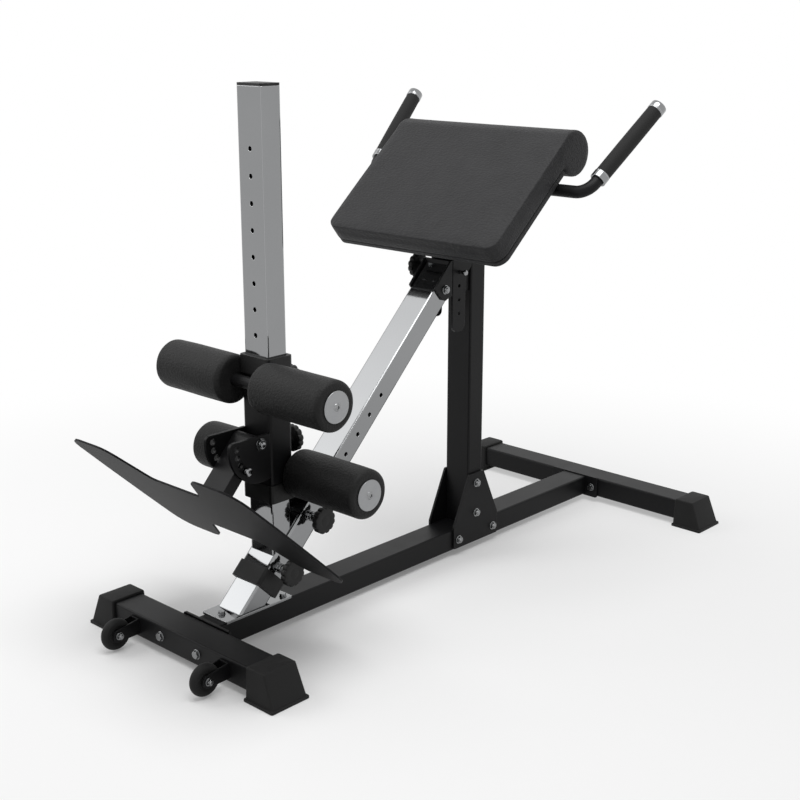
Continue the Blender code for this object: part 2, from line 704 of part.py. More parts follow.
def make_rail(rail_axes):
    """Chromed rail that the mast slides on, its foot plate, and the bracket at its top."""
    section = tube_section(TUBE_NARROW, TUBE_WIDE, TUBE_WALL, TUBE_ROUND)
    root2 = math.sqrt(2)
    mesh = extruded(section, 1.0, 0)
    foot_z = (RAIL_PLATE_TOP + GAP) * root2 + RAIL_OFFSET
    top_z = RAIL_TOP_X * root2 - RAIL_OFFSET
    mitre(mesh, 0, 1, foot_z)
    mitre(mesh, 1, -1, top_z)
    rail = add_part("slide_rail", mesh, "chrome", (RAIL_OFFSET, 0, 0), parent=rail_axes)
    places = [(RAIL_OFFSET, 0, RAIL_FIRST_HOLE - i * RAIL_HOLE_SPACING) for i in range(RAIL_HOLE_COUNT)]
    places = [place for place in places if place[2] > foot_z + TUBE_NARROW]
    boolean(rail, rods(PIN_HOLE_RADIUS, 2 * TUBE_WIDE, places, Z_TO_Y), parent=rail_axes)
    bolt_along, bolt_off = rail_place(CLEVIS_BOLT_X, CLEVIS_BOLT_Z)
    boolean(rail, rods(GUSSET_BOLT_RADIUS + HOLE_CLEARANCE, 2 * TUBE_WIDE, [(-bolt_off, 0, bolt_along)], Z_TO_Y),
            parent=rail_axes)
    plate = extruded([rectangle(RAIL_PLATE_LENGTH, 2 * RAIL_PLATE_HALF, RAIL_PLATE_ROUND)],
                     RAIL_PLATE_THICKNESS, BEAM_TOP + GAP)
    middle = TUBE_WIDE / 2 + RAIL_PLATE_SETBACK + RAIL_PLATE_LENGTH / 2
    add_part("rail_foot_plate", plate, "chrome", frame_point(middle, 0, 0))
    make_rail_bracket()


def rail_place(x, z):
    """Distance along the rail and off it, of a point in the frame's X and Z."""
    root2 = math.sqrt(2)
    return (x + z) / root2, (z - x) / root2


def make_rail_bracket():
    """Channel round the rail's cut end, welded to a stub tube on the upright, and its bolt."""
    web = RAIL_TOP_X + GAP
    back = web + CLEVIS_WEB
    top = STUB_BOTTOM + CLEVIS_RISE
    side_view = rounded([
        (CLEVIS_BOLT_X - CLEVIS_TAIL, CLEVIS_BOLT_Z + CLEVIS_TAIL_RISE),
        (CLEVIS_BOLT_X - CLEVIS_HEEL, CLEVIS_BOLT_Z - CLEVIS_HEEL_DROP),
        (CLEVIS_BOLT_X + CLEVIS_TOE, CLEVIS_BOLT_Z - CLEVIS_TOE_DROP), (web, STUB_BOTTOM),
        (back, STUB_BOTTOM), (back, top), (web, top)],
        [CLEVIS_ROUND, CLEVIS_ROUND, CLEVIS_ROUND, 0.0, 0.0, 0.0, 0.0], 3)
    inner = TUBE_WIDE / 2 + SLIDE_CLEARANCE
    outer = inner + CLEVIS_PLATE
    bracket = add_part("rail_bracket", extruded([side_view], 2 * outer), "black_steel",
                       frame_point(0, 0, 0), FLAT_TO_XZ)
    mouth = 4 * CLEVIS_TAIL
    channel = block((mouth, 2 * inner, 4 * STUB_HEIGHT), centre=(-mouth / 2, 0, 0))
    boolean(bracket, channel, location=frame_point(web, 0, CLEVIS_BOLT_Z))
    bolt_hole = rods(GUSSET_BOLT_RADIUS + HOLE_CLEARANCE, 4 * outer, [(0, 0, 0)], Z_TO_Y)
    boolean(bracket, bolt_hole, location=frame_point(CLEVIS_BOLT_X, 0, CLEVIS_BOLT_Z))
    stub_end = UPRIGHT_X - TUBE_NARROW / 2 - GAP
    stub_start = back - CLEVIS_WEB / 2
    section = tube_section(2 * STUB_HALF_WIDTH, STUB_HEIGHT, STUB_WALL, TUBE_ROUND)
    stub = extruded(section, stub_end - stub_start, 0)
    boolean(bracket, stub, "UNION", frame_point(stub_start, 0, STUB_BOTTOM + STUB_HEIGHT / 2), FLAT_TO_YZ)
    pin_hole = rods(PAD_PIN_RADIUS + HOLE_CLEARANCE, 4 * STUB_HALF_WIDTH, [(0, 0, 0)], Z_TO_Y)
    boolean(bracket, pin_hole, location=frame_point(PAD_HOLE_X, 0, PAD_HOLE_Z))
    add_part("rail_bolt", through_bolt(GUSSET_BOLT_RADIUS, 2 * outer), "zinc",
             frame_point(CLEVIS_BOLT_X, 0, CLEVIS_BOLT_Z), Z_TO_Y)


def make_sleeve(name, finish, start, axes, bosses, boss_turn):
    """Sleeve tube with a plastic collar at each end; bosses are heights of threaded bosses."""
    end = start + SLEEVE_LENGTH
    inner_wide = TUBE_WIDE + 2 * SLIDE_CLEARANCE
    inner_narrow = TUBE_NARROW + 2 * SLIDE_CLEARANCE
    outlines = [rectangle(SLEEVE_NARROW, SLEEVE_WIDE, TUBE_ROUND + SLEEVE_WALL / 2),
                rectangle(inner_narrow, inner_wide, TUBE_ROUND / 2)]
    tube = extruded(outlines, SLEEVE_LENGTH - 2 * (COLLAR_LIP + GAP), start + COLLAR_LIP + GAP)
    sleeve = add_part(name, tube, finish, parent=axes)
    direction, face = boss_turn
    reach = BOSS_LENGTH + SLEEVE_WALL / 2
    along_y = direction[1] != 0
    turn = Z_TO_Y if along_y else Z_TO_X
    middle = face + BOSS_LENGTH / 2 - SLEEVE_WALL / 4
    places = [(direction[0] * middle, direction[1] * middle, height) for height in bosses]
    boolean(sleeve, rods(BOSS_RADIUS, reach, places, turn), "UNION", parent=axes)
    bore_reach = BOSS_LENGTH + 3 * SLEEVE_WALL
    bore_middle = face + BOSS_LENGTH / 2
    places = [(direction[0] * bore_middle, direction[1] * bore_middle, height) for height in bosses]
    boolean(sleeve, rods(STEM_RADIUS + HOLE_CLEARANCE, bore_reach, places, turn), parent=axes)
    for place, low, pocket_low in (("lower", start, start + COLLAR_LIP), ("upper", end - COLLAR_LENGTH,
                                                                        end - COLLAR_LENGTH - COLLAR_LIP)):
        growth = 2 * (GAP + COLLAR_WALL)
        ring = [rectangle(SLEEVE_NARROW + growth, SLEEVE_WIDE + growth, TUBE_ROUND + COLLAR_WALL),
                rectangle(inner_narrow, inner_wide, TUBE_ROUND / 2)]
        collar = add_part(f"{name.replace('sleeve', 'collar')}_{place}", extruded(ring, COLLAR_LENGTH, low),
                          "black_plastic", parent=axes)
        pocket = extruded([rectangle(SLEEVE_NARROW + 2 * GAP, SLEEVE_WIDE + 2 * GAP,
                                     TUBE_ROUND + SLEEVE_WALL / 2)], COLLAR_LENGTH, pocket_low)
        boolean(collar, pocket, parent=axes)
    return sleeve


def make_mast_carriage(rail_axes):
    """Sleeve on the rail with its knobs, and the mast that stands on it."""
    carriage = add_empty("mast_carriage_axes", (RAIL_OFFSET, 0, 0), parent=rail_axes)
    make_sleeve("rail_sleeve", "chrome", RAIL_SLEEVE_START, carriage,
                (RAIL_CLAMP_ALONG, RAIL_PIN_ALONG), ((0, -1, 0), SLEEVE_WIDE / 2))
    face = TUBE_WIDE / 2 + GAP
    back = SLEEVE_WIDE / 2 + KNOB_STEM
    add_part("rail_clamp_knob", knob(back, face, STEM_RADIUS), "black_plastic",
             (0, 0, RAIL_CLAMP_ALONG), Z_TO_MINUS_Y, carriage)
    add_part("rail_pull_pin", knob(back, face, PIN_RADIUS, face + PIN_TRAVEL + GAP), "black_plastic",
             (0, 0, RAIL_PIN_ALONG), Z_TO_MINUS_Y, carriage)
    section = tube_section(TUBE_NARROW, TUBE_WIDE, TUBE_WALL, TUBE_ROUND)
    sleeve_top = -RAIL_OFFSET + SLEEVE_NARROW / 2 + GAP
    foot = MAST_X + math.sqrt(2) * sleeve_top
    mesh = extruded(section, MAST_TOP, 0)
    mitre(mesh, 0, 1, foot)
    mast = add_part("mast", mesh, "chrome", frame_point(MAST_X, 0, 0))
    places = [(0, 0, MAST_TOP_HOLE - i * MAST_HOLE_SPACING) for i in range(MAST_HOLE_COUNT)]
    boolean(mast, rods(PIN_HOLE_RADIUS, 2 * TUBE_NARROW, places, Z_TO_X), location=frame_point(MAST_X, 0, 0))
    cap = add_part("mast_cap", extruded([rectangle(TUBE_NARROW, TUBE_WIDE, TUBE_ROUND)], MAST_CAP, GAP),
                   "black_plastic", frame_point(MAST_X, 0, MAST_TOP))
    plug_wall = 2 * (TUBE_WALL + GAP)
    plug = extruded([rectangle(TUBE_NARROW - plug_wall, TUBE_WIDE - plug_wall, TUBE_WALL / 2)],
                    MAST_CAP_PLUG + MAST_CAP / 2, -MAST_CAP_PLUG)
    boolean(cap, plug, "UNION", frame_point(MAST_X, 0, MAST_TOP))


def make_roller(name, x, z, sign):
    """Foam roller, turned about its axle."""
    half = ROLLER_LENGTH / 2
    bore = AXLE_RADIUS + BORE_CLEARANCE
    edge = ROLLER_RADIUS - ROLLER_ROUND
    upper = arc((edge, half - ROLLER_ROUND), ROLLER_ROUND, math.pi / 2, 0, 3)
    lower = arc((edge, ROLLER_ROUND - half), ROLLER_ROUND, 0, -math.pi / 2, 3)
    turned(name, [(bore, half)] + upper + lower + [(bore, -half)], "foam",
           location=frame_point(x, sign * (ROLLER_INNER_END + half), z), rotation=Z_TO_Y)


def make_axle(name, x, z):
    """Cross bar welded to the sleeve, with a cap and button bolt at each end."""
    end = ROLLER_INNER_END + ROLLER_LENGTH + GAP
    cap = end + AXLE_CAP_THICKNESS
    button = cap + BUTTON_HEIGHT
    upper = [(0, button), (BUTTON_FACE, button), (BUTTON_RADIUS, cap), (AXLE_CAP_RADIUS, cap),
             (AXLE_CAP_RADIUS, end), (AXLE_RADIUS, end)]
    lower = [(radius, -height) for radius, height in reversed(upper)]
    turned(name, upper + lower, "chrome", closed=False, location=frame_point(x, 0, z), rotation=Z_TO_Y)


def make_roller_carriage():
    """Sleeve on the mast with rollers, knobs and the footplate's bracket."""
    mast_axes = add_empty("roller_carriage_axes", frame_point(MAST_X, 0, 0))
    face = SLEEVE_NARROW / 2
    make_sleeve("mast_sleeve", "black_steel", MAST_SLEEVE_START, mast_axes,
                (MAST_CLAMP_Z, MAST_PIN_Z), ((1, 0, 0), face))
    tip = TUBE_NARROW / 2 + GAP
    add_part("mast_clamp_knob", knob(face + KNOB_STEM, tip, STEM_RADIUS), "black_plastic",
             (0, 0, MAST_CLAMP_Z), Z_TO_X, mast_axes)
    add_part("mast_pull_pin", knob(face + KNOB_STEM, tip, PIN_RADIUS, tip + PIN_TRAVEL + GAP), "black_plastic",
             (0, 0, MAST_PIN_Z), Z_TO_X, mast_axes)
    for level, direction, z in (("upper", -1, UPPER_AXLE_Z), ("lower", 1, LOWER_AXLE_Z)):
        x = MAST_X + direction * (face + GAP + AXLE_RADIUS)
        make_axle(f"{level}_axle", x, z)
        for side, sign in (("left", 1), ("right", -1)):
            make_roller(f"{level}_roller_{side}", x, z, sign)
    make_foot_bracket()
    make_footplate()


def make_foot_bracket():
    """Two plates on the sleeve, with the pivot and a row of holes for the footplate's tilt."""
    sleeve_face = MAST_X - SLEEVE_NARROW / 2 - GAP
    low = math.acos((sleeve_face - PIVOT_X) / BRACKET_REACH)
    corner = math.asin((BRACKET_TOP - BRACKET_ROUND - PIVOT_Z) / (BRACKET_REACH - BRACKET_ROUND))
    corner_x = PIVOT_X - math.cos(corner) * (BRACKET_REACH - BRACKET_ROUND)
    edge = [(sleeve_face, BRACKET_TOP)]
    edge += arc((corner_x, BRACKET_TOP - BRACKET_ROUND), BRACKET_ROUND, math.pi / 2, math.pi - corner, 4)
    edge += arc((PIVOT_X, PIVOT_Z), BRACKET_REACH, math.pi - corner, 2 * math.pi - low, 14)[1:]
    holes = [circle(PIVOT_RADIUS + HOLE_CLEARANCE, (PIVOT_X, PIVOT_Z))]
    for i in range(TILT_HOLES):
        turn = TILT_FIRST - i * TILT_STEP
        place = (PIVOT_X + TILT_CIRCLE * math.cos(turn), PIVOT_Z + TILT_CIRCLE * math.sin(turn))
        holes.append(circle(TILT_HOLE_RADIUS, place))
    inner = BRACKET_OUTER - BRACKET_PLATE
    for side, start in (("left", -BRACKET_OUTER), ("right", inner)):
        add_part(f"foot_bracket_{side}", extruded([edge] + holes, BRACKET_PLATE, start), "black_steel",
                 frame_point(0, 0, 0), FLAT_TO_XZ)
    add_part("pivot_bolt", through_bolt(PIVOT_RADIUS, 2 * BRACKET_OUTER), "zinc",
             frame_point(PIVOT_X, 0, PIVOT_Z), Z_TO_Y)
    head = BRACKET_OUTER + TILT_PIN_STEM
    face = head + TILT_PIN_HEAD
    pin = lofted([
        (inner + GAP, TILT_PIN_RADIUS * 0.8, None),
        (inner + 3 * GAP, TILT_PIN_RADIUS, None),
        (head, TILT_PIN_RADIUS, None),
        (head, TILT_PIN_HEAD_RADIUS, None),
        (face, TILT_PIN_HEAD_RADIUS, None),
        (face + TILT_PIN_DOME, TILT_PIN_RADIUS, None)], HOLE_SIDES)
    place = (PIVOT_X + TILT_CIRCLE * math.cos(TILT_FIRST), 0, PIVOT_Z + TILT_CIRCLE * math.sin(TILT_FIRST))
    add_part("tilt_pin", pin, "chrome", frame_point(*place), Z_TO_MINUS_Y)


def make_footplate():
    """Arm that swings on the pivot, and the butterfly footplate on its end."""
    foot_axes = add_empty("foot_axes", frame_point(PIVOT_X, 0, PIVOT_Z), (0, 2 * math.pi - TILT_FIRST, 0))
    half = ARM_THICKNESS / 2
    end = FOOTPLATE_REACH - FOOTPLATE_THICKNESS - GAP
    side_view = [(end, -half), (end, half)] + arc((0, 0), half, math.pi / 2, 3 * math.pi / 2, 10)
    holes = [circle(PIVOT_RADIUS + BORE_CLEARANCE), circle(TILT_HOLE_RADIUS, (TILT_CIRCLE, 0))]
    arm = add_part("foot_arm", extruded([side_view] + holes, ARM_WIDTH), "black_steel",
                   rotation=FLAT_TO_XZ, parent=foot_axes)
    reach = 2 * (end - ARM_HOLLOW_START)
    hollow = block((reach, ARM_WIDTH - 2 * ARM_WALL, ARM_THICKNESS - 2 * ARM_WALL),
                   centre=(ARM_HOLLOW_START + reach / 2, 0, 0))
    boolean(arm, hollow, parent=foot_axes)
    quarter = [(FOOTPLATE_HALF_WIDTH, FOOTPLATE_SIDE_ROUND),
               (FOOTPLATE_HALF_WIDTH - FOOTPLATE_SIDE_DRAW, FOOTPLATE_LOBE),
               (FOOTPLATE_LOBE_START - FOOTPLATE_LOBE_DRAW, FOOTPLATE_LOBE),
               (FOOTPLATE_WAIST_HALF + FOOTPLATE_NECK_GROWTH, FOOTPLATE_WAIST)]
    radii = [FOOTPLATE_SIDE_ROUND, FOOTPLATE_ROUND, FOOTPLATE_ROUND, FOOTPLATE_NECK_ROUND]
    corners = quarter + [(-y, s) for y, s in reversed(quarter)]
    corners += [(-y, -s) for y, s in quarter] + [(y, -s) for y, s in reversed(quarter)]
    radii = radii + radii[::-1] + radii + radii[::-1]
    plate = extruded([rounded(corners, radii, 4)], FOOTPLATE_THICKNESS, FOOTPLATE_REACH - FOOTPLATE_THICKNESS)
    add_part("footplate", plate, "black_steel", rotation=FLAT_TO_YZ, parent=foot_axes)


def board_underside(x, off):
    """Height of a plane that lies off the pad's slope, at a place along X."""
    return x * math.tan(PAD_ANGLE) + off / math.cos(PAD_ANGLE)


def slope_place(along, off):
    """Frame's X and Z of a point given along the pad's slope and off it."""
    cosine, sine = math.cos(PAD_ANGLE), math.sin(PAD_ANGLE)
    return along * cosine - off * sine, along * sine + off * cosine


def strap_view(half_width, end, corner):
    """Side view of a strap: from its lower end up to the mounting plate, with a shoulder over the post."""
    left, right = PAD_HOLE_X - half_width, PAD_HOLE_X + half_width
    neck = UPRIGHT_X - TUBE_NARROW / 2 - SLIDE_CLEARANCE
    weld = MOUNT_PLATE_BOTTOM + MOUNT_PLATE_THICKNESS / 2
    seat = POST_TOP_OFF + GAP
    return rounded([
        (left, end), (right, end), (right, STRAP_SHOULDER), (neck, STRAP_SHOULDER + neck - right),
        (neck, board_underside(neck, seat)), slope_place(MOUNT_PLATE_END, seat),
        slope_place(MOUNT_PLATE_END, weld), (left, board_underside(left, weld))],
        [corner, corner, STRAP_NECK_ROUND, STRAP_NECK_ROUND, 0.0, 0.0, 0.0, 0.0], 4)


def make_pad_carrier(pad_axes):
    """Post in the upright, plate under the board with a strap on each side, lock pin and knob."""
    play = 2 * (TUBE_WALL + SLIDE_CLEARANCE)
    section = tube_section(TUBE_NARROW - play, TUBE_WIDE - play, TUBE_WALL, TUBE_WALL)
    mesh = extruded(section, 1.0, 0)
    mitre(mesh, 0, 0, POST_BOTTOM)
    mitre(mesh, 1, math.tan(PAD_ANGLE), board_underside(UPRIGHT_X, POST_TOP_OFF))
    add_part("pad_post", mesh, "black_steel", frame_point(UPRIGHT_X, 0, 0))
    length = MOUNT_PLATE_END - MOUNT_PLATE_START
    plate = extruded([rectangle(length, 2 * MOUNT_PLATE_HALF, MOUNT_PLATE_ROUND)], MOUNT_PLATE_THICKNESS,
                     MOUNT_PLATE_BOTTOM)
    bracket = add_part("pad_bracket", plate, "black_steel",
                       (MOUNT_PLATE_START + length / 2, 0, 0), parent=pad_axes)
    near_view = strap_view(STRAP_HALF_WIDTH, STRAP_BOTTOM - STRAP_HALF_WIDTH, STRAP_ROUND)
    far_view = strap_view(FAR_STRAP_HALF_WIDTH, FAR_STRAP_END, FAR_STRAP_ROUND)
    holes = [circle(PAD_PIN_RADIUS + HOLE_CLEARANCE, (PAD_HOLE_X, PAD_HOLE_Z - i * PAD_HOLE_SPACING))
             for i in range(PAD_HOLES)]
    travel = (PAD_HOLES - 1) * PAD_HOLE_SPACING
    slot_radius = STEM_RADIUS + HOLE_CLEARANCE
    slot = arc((PAD_HOLE_X, PAD_HOLE_Z), slot_radius, 0, math.pi, 8)
    slot += arc((PAD_HOLE_X, PAD_HOLE_Z - travel), slot_radius, math.pi, 2 * math.pi, 8)
    near_strap = extruded([near_view] + holes, STRAP_THICKNESS, STRAP_INNER)
    far_strap = extruded([far_view, slot], STRAP_THICKNESS, -STRAP_INNER - STRAP_THICKNESS)
    for strap in (near_strap, far_strap):
        boolean(bracket, strap, "UNION", frame_point(0, 0, 0), FLAT_TO_XZ)
    ball = STRAP_INNER + LOCK_PIN_STEM
    pin = lofted([
        (STRAP_INNER + GAP, PAD_PIN_RADIUS * 0.8, None),
        (STRAP_INNER + 3 * GAP, PAD_PIN_RADIUS, None),
        (ball, PAD_PIN_RADIUS, None),
        (ball + LOCK_BALL_HEIGHT * 0.17, PAD_PIN_RADIUS * 1.55, None),
        (ball + LOCK_BALL_HEIGHT * 0.5, PAD_PIN_RADIUS * 1.9, None),
        (ball + LOCK_BALL_HEIGHT * 0.83, PAD_PIN_RADIUS * 1.55, None),
        (ball + LOCK_BALL_HEIGHT, PAD_PIN_RADIUS * 0.7, None)], HOLE_SIDES)
    add_part("pad_lock_pin", pin, "chrome", frame_point(PAD_HOLE_X, 0, PAD_HOLE_Z), Z_TO_MINUS_Y)
    screw_tip = STUB_HALF_WIDTH - STUB_WALL - GAP
    clamp = knob(PAD_KNOB_BACK, screw_tip, PAD_PIN_RADIUS, STUB_HALF_WIDTH + GAP)
    add_part("pad_clamp_knob", clamp, "black_plastic", frame_point(PAD_HOLE_X, 0, PAD_HOLE_Z), Z_TO_Y)


def make_pad(pad_axes):
    """Backing board, and the cushion with its roll at the upper end."""
    start = PAD_START + BOARD_MARGIN
    length = BOARD_END - start
    board = extruded([rectangle(length, 2 * (PAD_HALF_WIDTH - BOARD_MARGIN), BOARD_ROUND, 4)], BOARD_THICKNESS,
                     BOARD_TOP - BOARD_THICKNESS)
    add_part("backing_board", board, "board", (start + length / 2, 0, 0), parent=pad_axes)
    pairs = cushion_pairs()
    profile = [top for top, _ in pairs] + [low for _, low in reversed(pairs)]
    middle = sum(x for x, _ in profile) / len(profile)
    bm = bmesh.new()
    rings = []
    for share in CUSHION_STATIONS:
        draw_in = CUSHION_DRAW_IN if abs(share) == 1 else 0.0
        y = share * (PAD_HALF_WIDTH + CUSHION_SIDE_GROWTH)
        rings.append([bm.verts.new((x + math.copysign(draw_in, middle - x), y, z)) for x, z in profile])
    count = len(profile)
    for first, second in zip(rings, rings[1:]):
        for i in range(count):
            j = (i + 1) % count
            bm.faces.new((first[i], first[j], second[j], second[i]))
    for ring in (rings[0], rings[-1]):
        for i in range(len(pairs) - 1):
            bm.faces.new((ring[i], ring[i + 1], ring[count - 2 - i], ring[count - 1 - i]))
    bmesh.ops.recalc_face_normals(bm, faces=bm.faces)
    mesh = bpy.data.meshes.new("pad_cushion")
    bm.to_mesh(mesh)
    bm.free()
    cushion = add_part("pad_cushion", mesh, "vinyl", parent=pad_axes, sharp=180)
    soft = cushion.modifiers.new("Soft", "SUBSURF")
    soft.levels = 2
    soft.render_levels = 2


def cushion_pairs():
    """Top and bottom points of the cushion's cage, from its thin front to the roll's nose."""
    bottom = BOARD_TOP + GAP
    crown = PAD_TOP + CUSHION_CROWN
    roll_z = PAD_TOP - ROLL_RADIUS
    inside = ROLL_CENTRE - ROLL_RADIUS + CUSHION_ROLL_NECK
    nose = [(ROLL_CENTRE + ROLL_RADIUS * CUSHION_ROUND_GROWTH * math.cos(t),
             roll_z + ROLL_RADIUS * CUSHION_ROUND_GROWTH * math.sin(t))
            for t in (math.radians(d) for d in (66, 21, -24, -69, -114))]
    front = PAD_START - CUSHION_CROWN
    tops = [(front, PAD_TOP), (PAD_START + CUSHION_FRONT_SWELL, crown), (PAD_START + CUSHION_MIDDLE, crown),
            (inside - CUSHION_NECK_SWELL, crown), (inside + CUSHION_NECK_SWELL / 2, crown)]
    lows = [(front, bottom), (PAD_START + CUSHION_FRONT_SWELL, bottom), (PAD_START + CUSHION_MIDDLE, bottom),
            (inside - CUSHION_NECK_SWELL, bottom + 2 * GAP), (inside, bottom + 7 * GAP)]
    tops += nose[:3]
    lows += [(inside, (bottom + nose[4][1]) / 2), nose[4], nose[3]]
    return list(zip(tops, lows))


def make_handles(pad_axes):
    """Bent tube across the underside of the board, with a grip on each end."""
    flare = math.atan2(HANDLE_FLARE, HANDLE_REACH)
    bend_turn = math.pi / 2 - flare
    setback = HANDLE_BEND * math.tan(bend_turn / 2)
    centre = (HANDLE_ALONG + HANDLE_BEND, HANDLE_HALF_SPAN - setback)
    bend = arc(centre, HANDLE_BEND, math.pi, math.pi - bend_turn, 8)
    tip = (HANDLE_TIP, HANDLE_HALF_SPAN + HANDLE_FLARE)
    half_route = bend + [tip]
    route = [(x, -y) for x, y in reversed(half_route)] + half_route
    curve = bpy.data.curves.new("handle", "CURVE")
    curve.dimensions = "3D"
    curve.bevel_depth = HANDLE_RADIUS
    curve.bevel_resolution = 3
    curve.use_fill_caps = True
    spline = curve.splines.new("POLY")
    spline.points.add(len(route) - 1)
    for point, (x, y) in zip(spline.points, route):
        point.co = (x, y, HANDLE_OFF, 1)
    add_part("handle_tube", mesh_of_curve(curve), "black_steel", parent=pad_axes)
    bore = HANDLE_RADIUS + GAP
    direction = Vector((math.cos(flare), math.sin(flare)))
    grip_length = (HANDLE_TIP - GRIP_START) / math.cos(flare)
    top, low_ring = grip_length, GRIP_RING_LENGTH
    high_ring = top - GRIP_RING_LENGTH
    profile = [(bore, top), (GRIP_RING_RADIUS, top), (GRIP_RING_RADIUS, high_ring), (GRIP_RADIUS, high_ring),
               (GRIP_RADIUS, low_ring), (GRIP_RING_RADIUS, low_ring), (GRIP_RING_RADIUS, 0), (bore, 0)]
    for side, sign in (("left", 1), ("right", -1)):
        base_y = HANDLE_HALF_SPAN + HANDLE_FLARE - direction.y * grip_length
        turned(f"grip_{side}", profile, "black_rubber", parent=pad_axes,
               location=(GRIP_START, sign * base_y, HANDLE_OFF), rotation=(0, math.pi / 2, sign * flare))


def main():
    """Build the whole machine."""
    rail_axes = add_empty("rail_axes", frame_point(0, 0, 0), (0, RAIL_ANGLE, 0))
    pad_axes = add_empty("pad_axes", frame_point(0, 0, 0), (0, -PAD_ANGLE, 0))
    make_base()
    make_upright()
    make_rail(rail_axes)
    make_mast_carriage(rail_axes)
    make_roller_carriage()
    make_pad_carrier(pad_axes)
    make_pad(pad_axes)
    make_handles(pad_axes)


main()
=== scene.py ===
"""Looks of a glute ham developer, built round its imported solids.

Metres throughout, in the row frame: +X along the main beam towards the pad, +Z up, floor at Z = 0.
Tubes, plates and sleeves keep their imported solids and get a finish. Soft pieces, turned pieces, knobs
and fasteners are replaced by finer ones, worked out as surfaces over a grid of two parameters.
"""

import logging
import math
from dataclasses import dataclass
from enum import Enum

import bmesh
import bpy
import numpy as np
from mathutils import Matrix, Vector


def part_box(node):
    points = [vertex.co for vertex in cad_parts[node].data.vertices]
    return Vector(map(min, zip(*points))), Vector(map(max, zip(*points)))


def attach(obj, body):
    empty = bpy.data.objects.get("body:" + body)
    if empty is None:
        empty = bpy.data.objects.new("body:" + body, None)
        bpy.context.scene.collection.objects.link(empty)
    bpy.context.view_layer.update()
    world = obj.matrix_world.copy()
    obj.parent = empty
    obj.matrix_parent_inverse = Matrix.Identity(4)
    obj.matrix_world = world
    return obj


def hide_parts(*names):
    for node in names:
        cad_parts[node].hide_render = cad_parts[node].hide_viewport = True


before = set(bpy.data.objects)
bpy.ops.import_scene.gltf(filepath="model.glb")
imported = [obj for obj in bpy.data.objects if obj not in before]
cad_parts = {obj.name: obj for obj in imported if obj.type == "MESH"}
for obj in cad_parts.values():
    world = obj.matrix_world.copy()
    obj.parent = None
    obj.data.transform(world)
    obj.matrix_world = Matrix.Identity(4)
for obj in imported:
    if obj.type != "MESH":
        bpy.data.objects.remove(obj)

log = logging.getLogger("glute_ham_developer")

# Distance from the rear crossbeam's centre to the origin: places below are measured from that crossbeam
MIDDLE_X = 0.62765
# Height of the base's beams, and X of the mast's middle from the rear crossbeam
BEAM_TOP = 0.065
MAST_MIDDLE = 0.2135
MILLIMETRE = 0.001
# Sides of the part, and the sign of Y on each
SIDES = (("left", 1), ("right", -1))
# Blender's noise stays mostly between these two values, which become 0 and 1
NOISE_RANGE = (0.3, 0.7)
# Cosines between the rounded and the flat normal where the painted edge highlight begins and where it is full
EDGE_FACING = (0.99, 0.86)
# Vertices nearer than this are merged, and edges shorter than the next are dissolved
MERGE_DISTANCE = 2e-6
SHORTEST_EDGE = 1e-7


def linear(hex_colour: str) -> tuple[float, float, float, float]:
    """Turn an sRGB hex colour into the linear values that a shader takes.

    Args:
        hex_colour: Six hex digits, without a hash sign.

    Returns:
        Linear red, green and blue, and an alpha of 1.
    """
    parts = [int(hex_colour[i:i + 2], 16) / 255 for i in (0, 2, 4)]
    red, green, blue = (c / 12.92 if c <= 0.04045 else ((c + 0.055) / 1.055) ** 2.4 for c in parts)
    return red, green, blue, 1.0


def per_metre(millimetres: float) -> float:
    """Scale of a texture whose features are that many millimetres apart."""
    return 1000.0 / millimetres


def add_node(tree: bpy.types.NodeTree, kind: str, sockets: dict | None = None, **settings) -> bpy.types.Node:
    """Add a node to a tree, with its settings, values and incoming links.

    Args:
        tree: Tree that the node goes into.
        kind: Blender's type name of the node.
        sockets: Values or output sockets by the name or number of the input they go to.
        **settings: Properties of the node itself.

    Returns:
        The new node.
    """
    node = tree.nodes.new(kind)
    for key, value in settings.items():
        setattr(node, key, value)
    for key, value in (sockets or {}).items():
        if isinstance(value, bpy.types.NodeSocket):
            tree.links.new(value, node.inputs[key])
        else:
            node.inputs[key].default_value = value
    return node


# Finishes


class Slot(Enum):
    """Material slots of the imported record."""

    STEEL = "black_steel"
    CHROME = "chrome"
    ZINC = "zinc"
    PLASTIC = "black_plastic"
    RUBBER = "black_rubber"
    FOAM = "foam"
    VINYL = "vinyl"
    BOARD = "board"


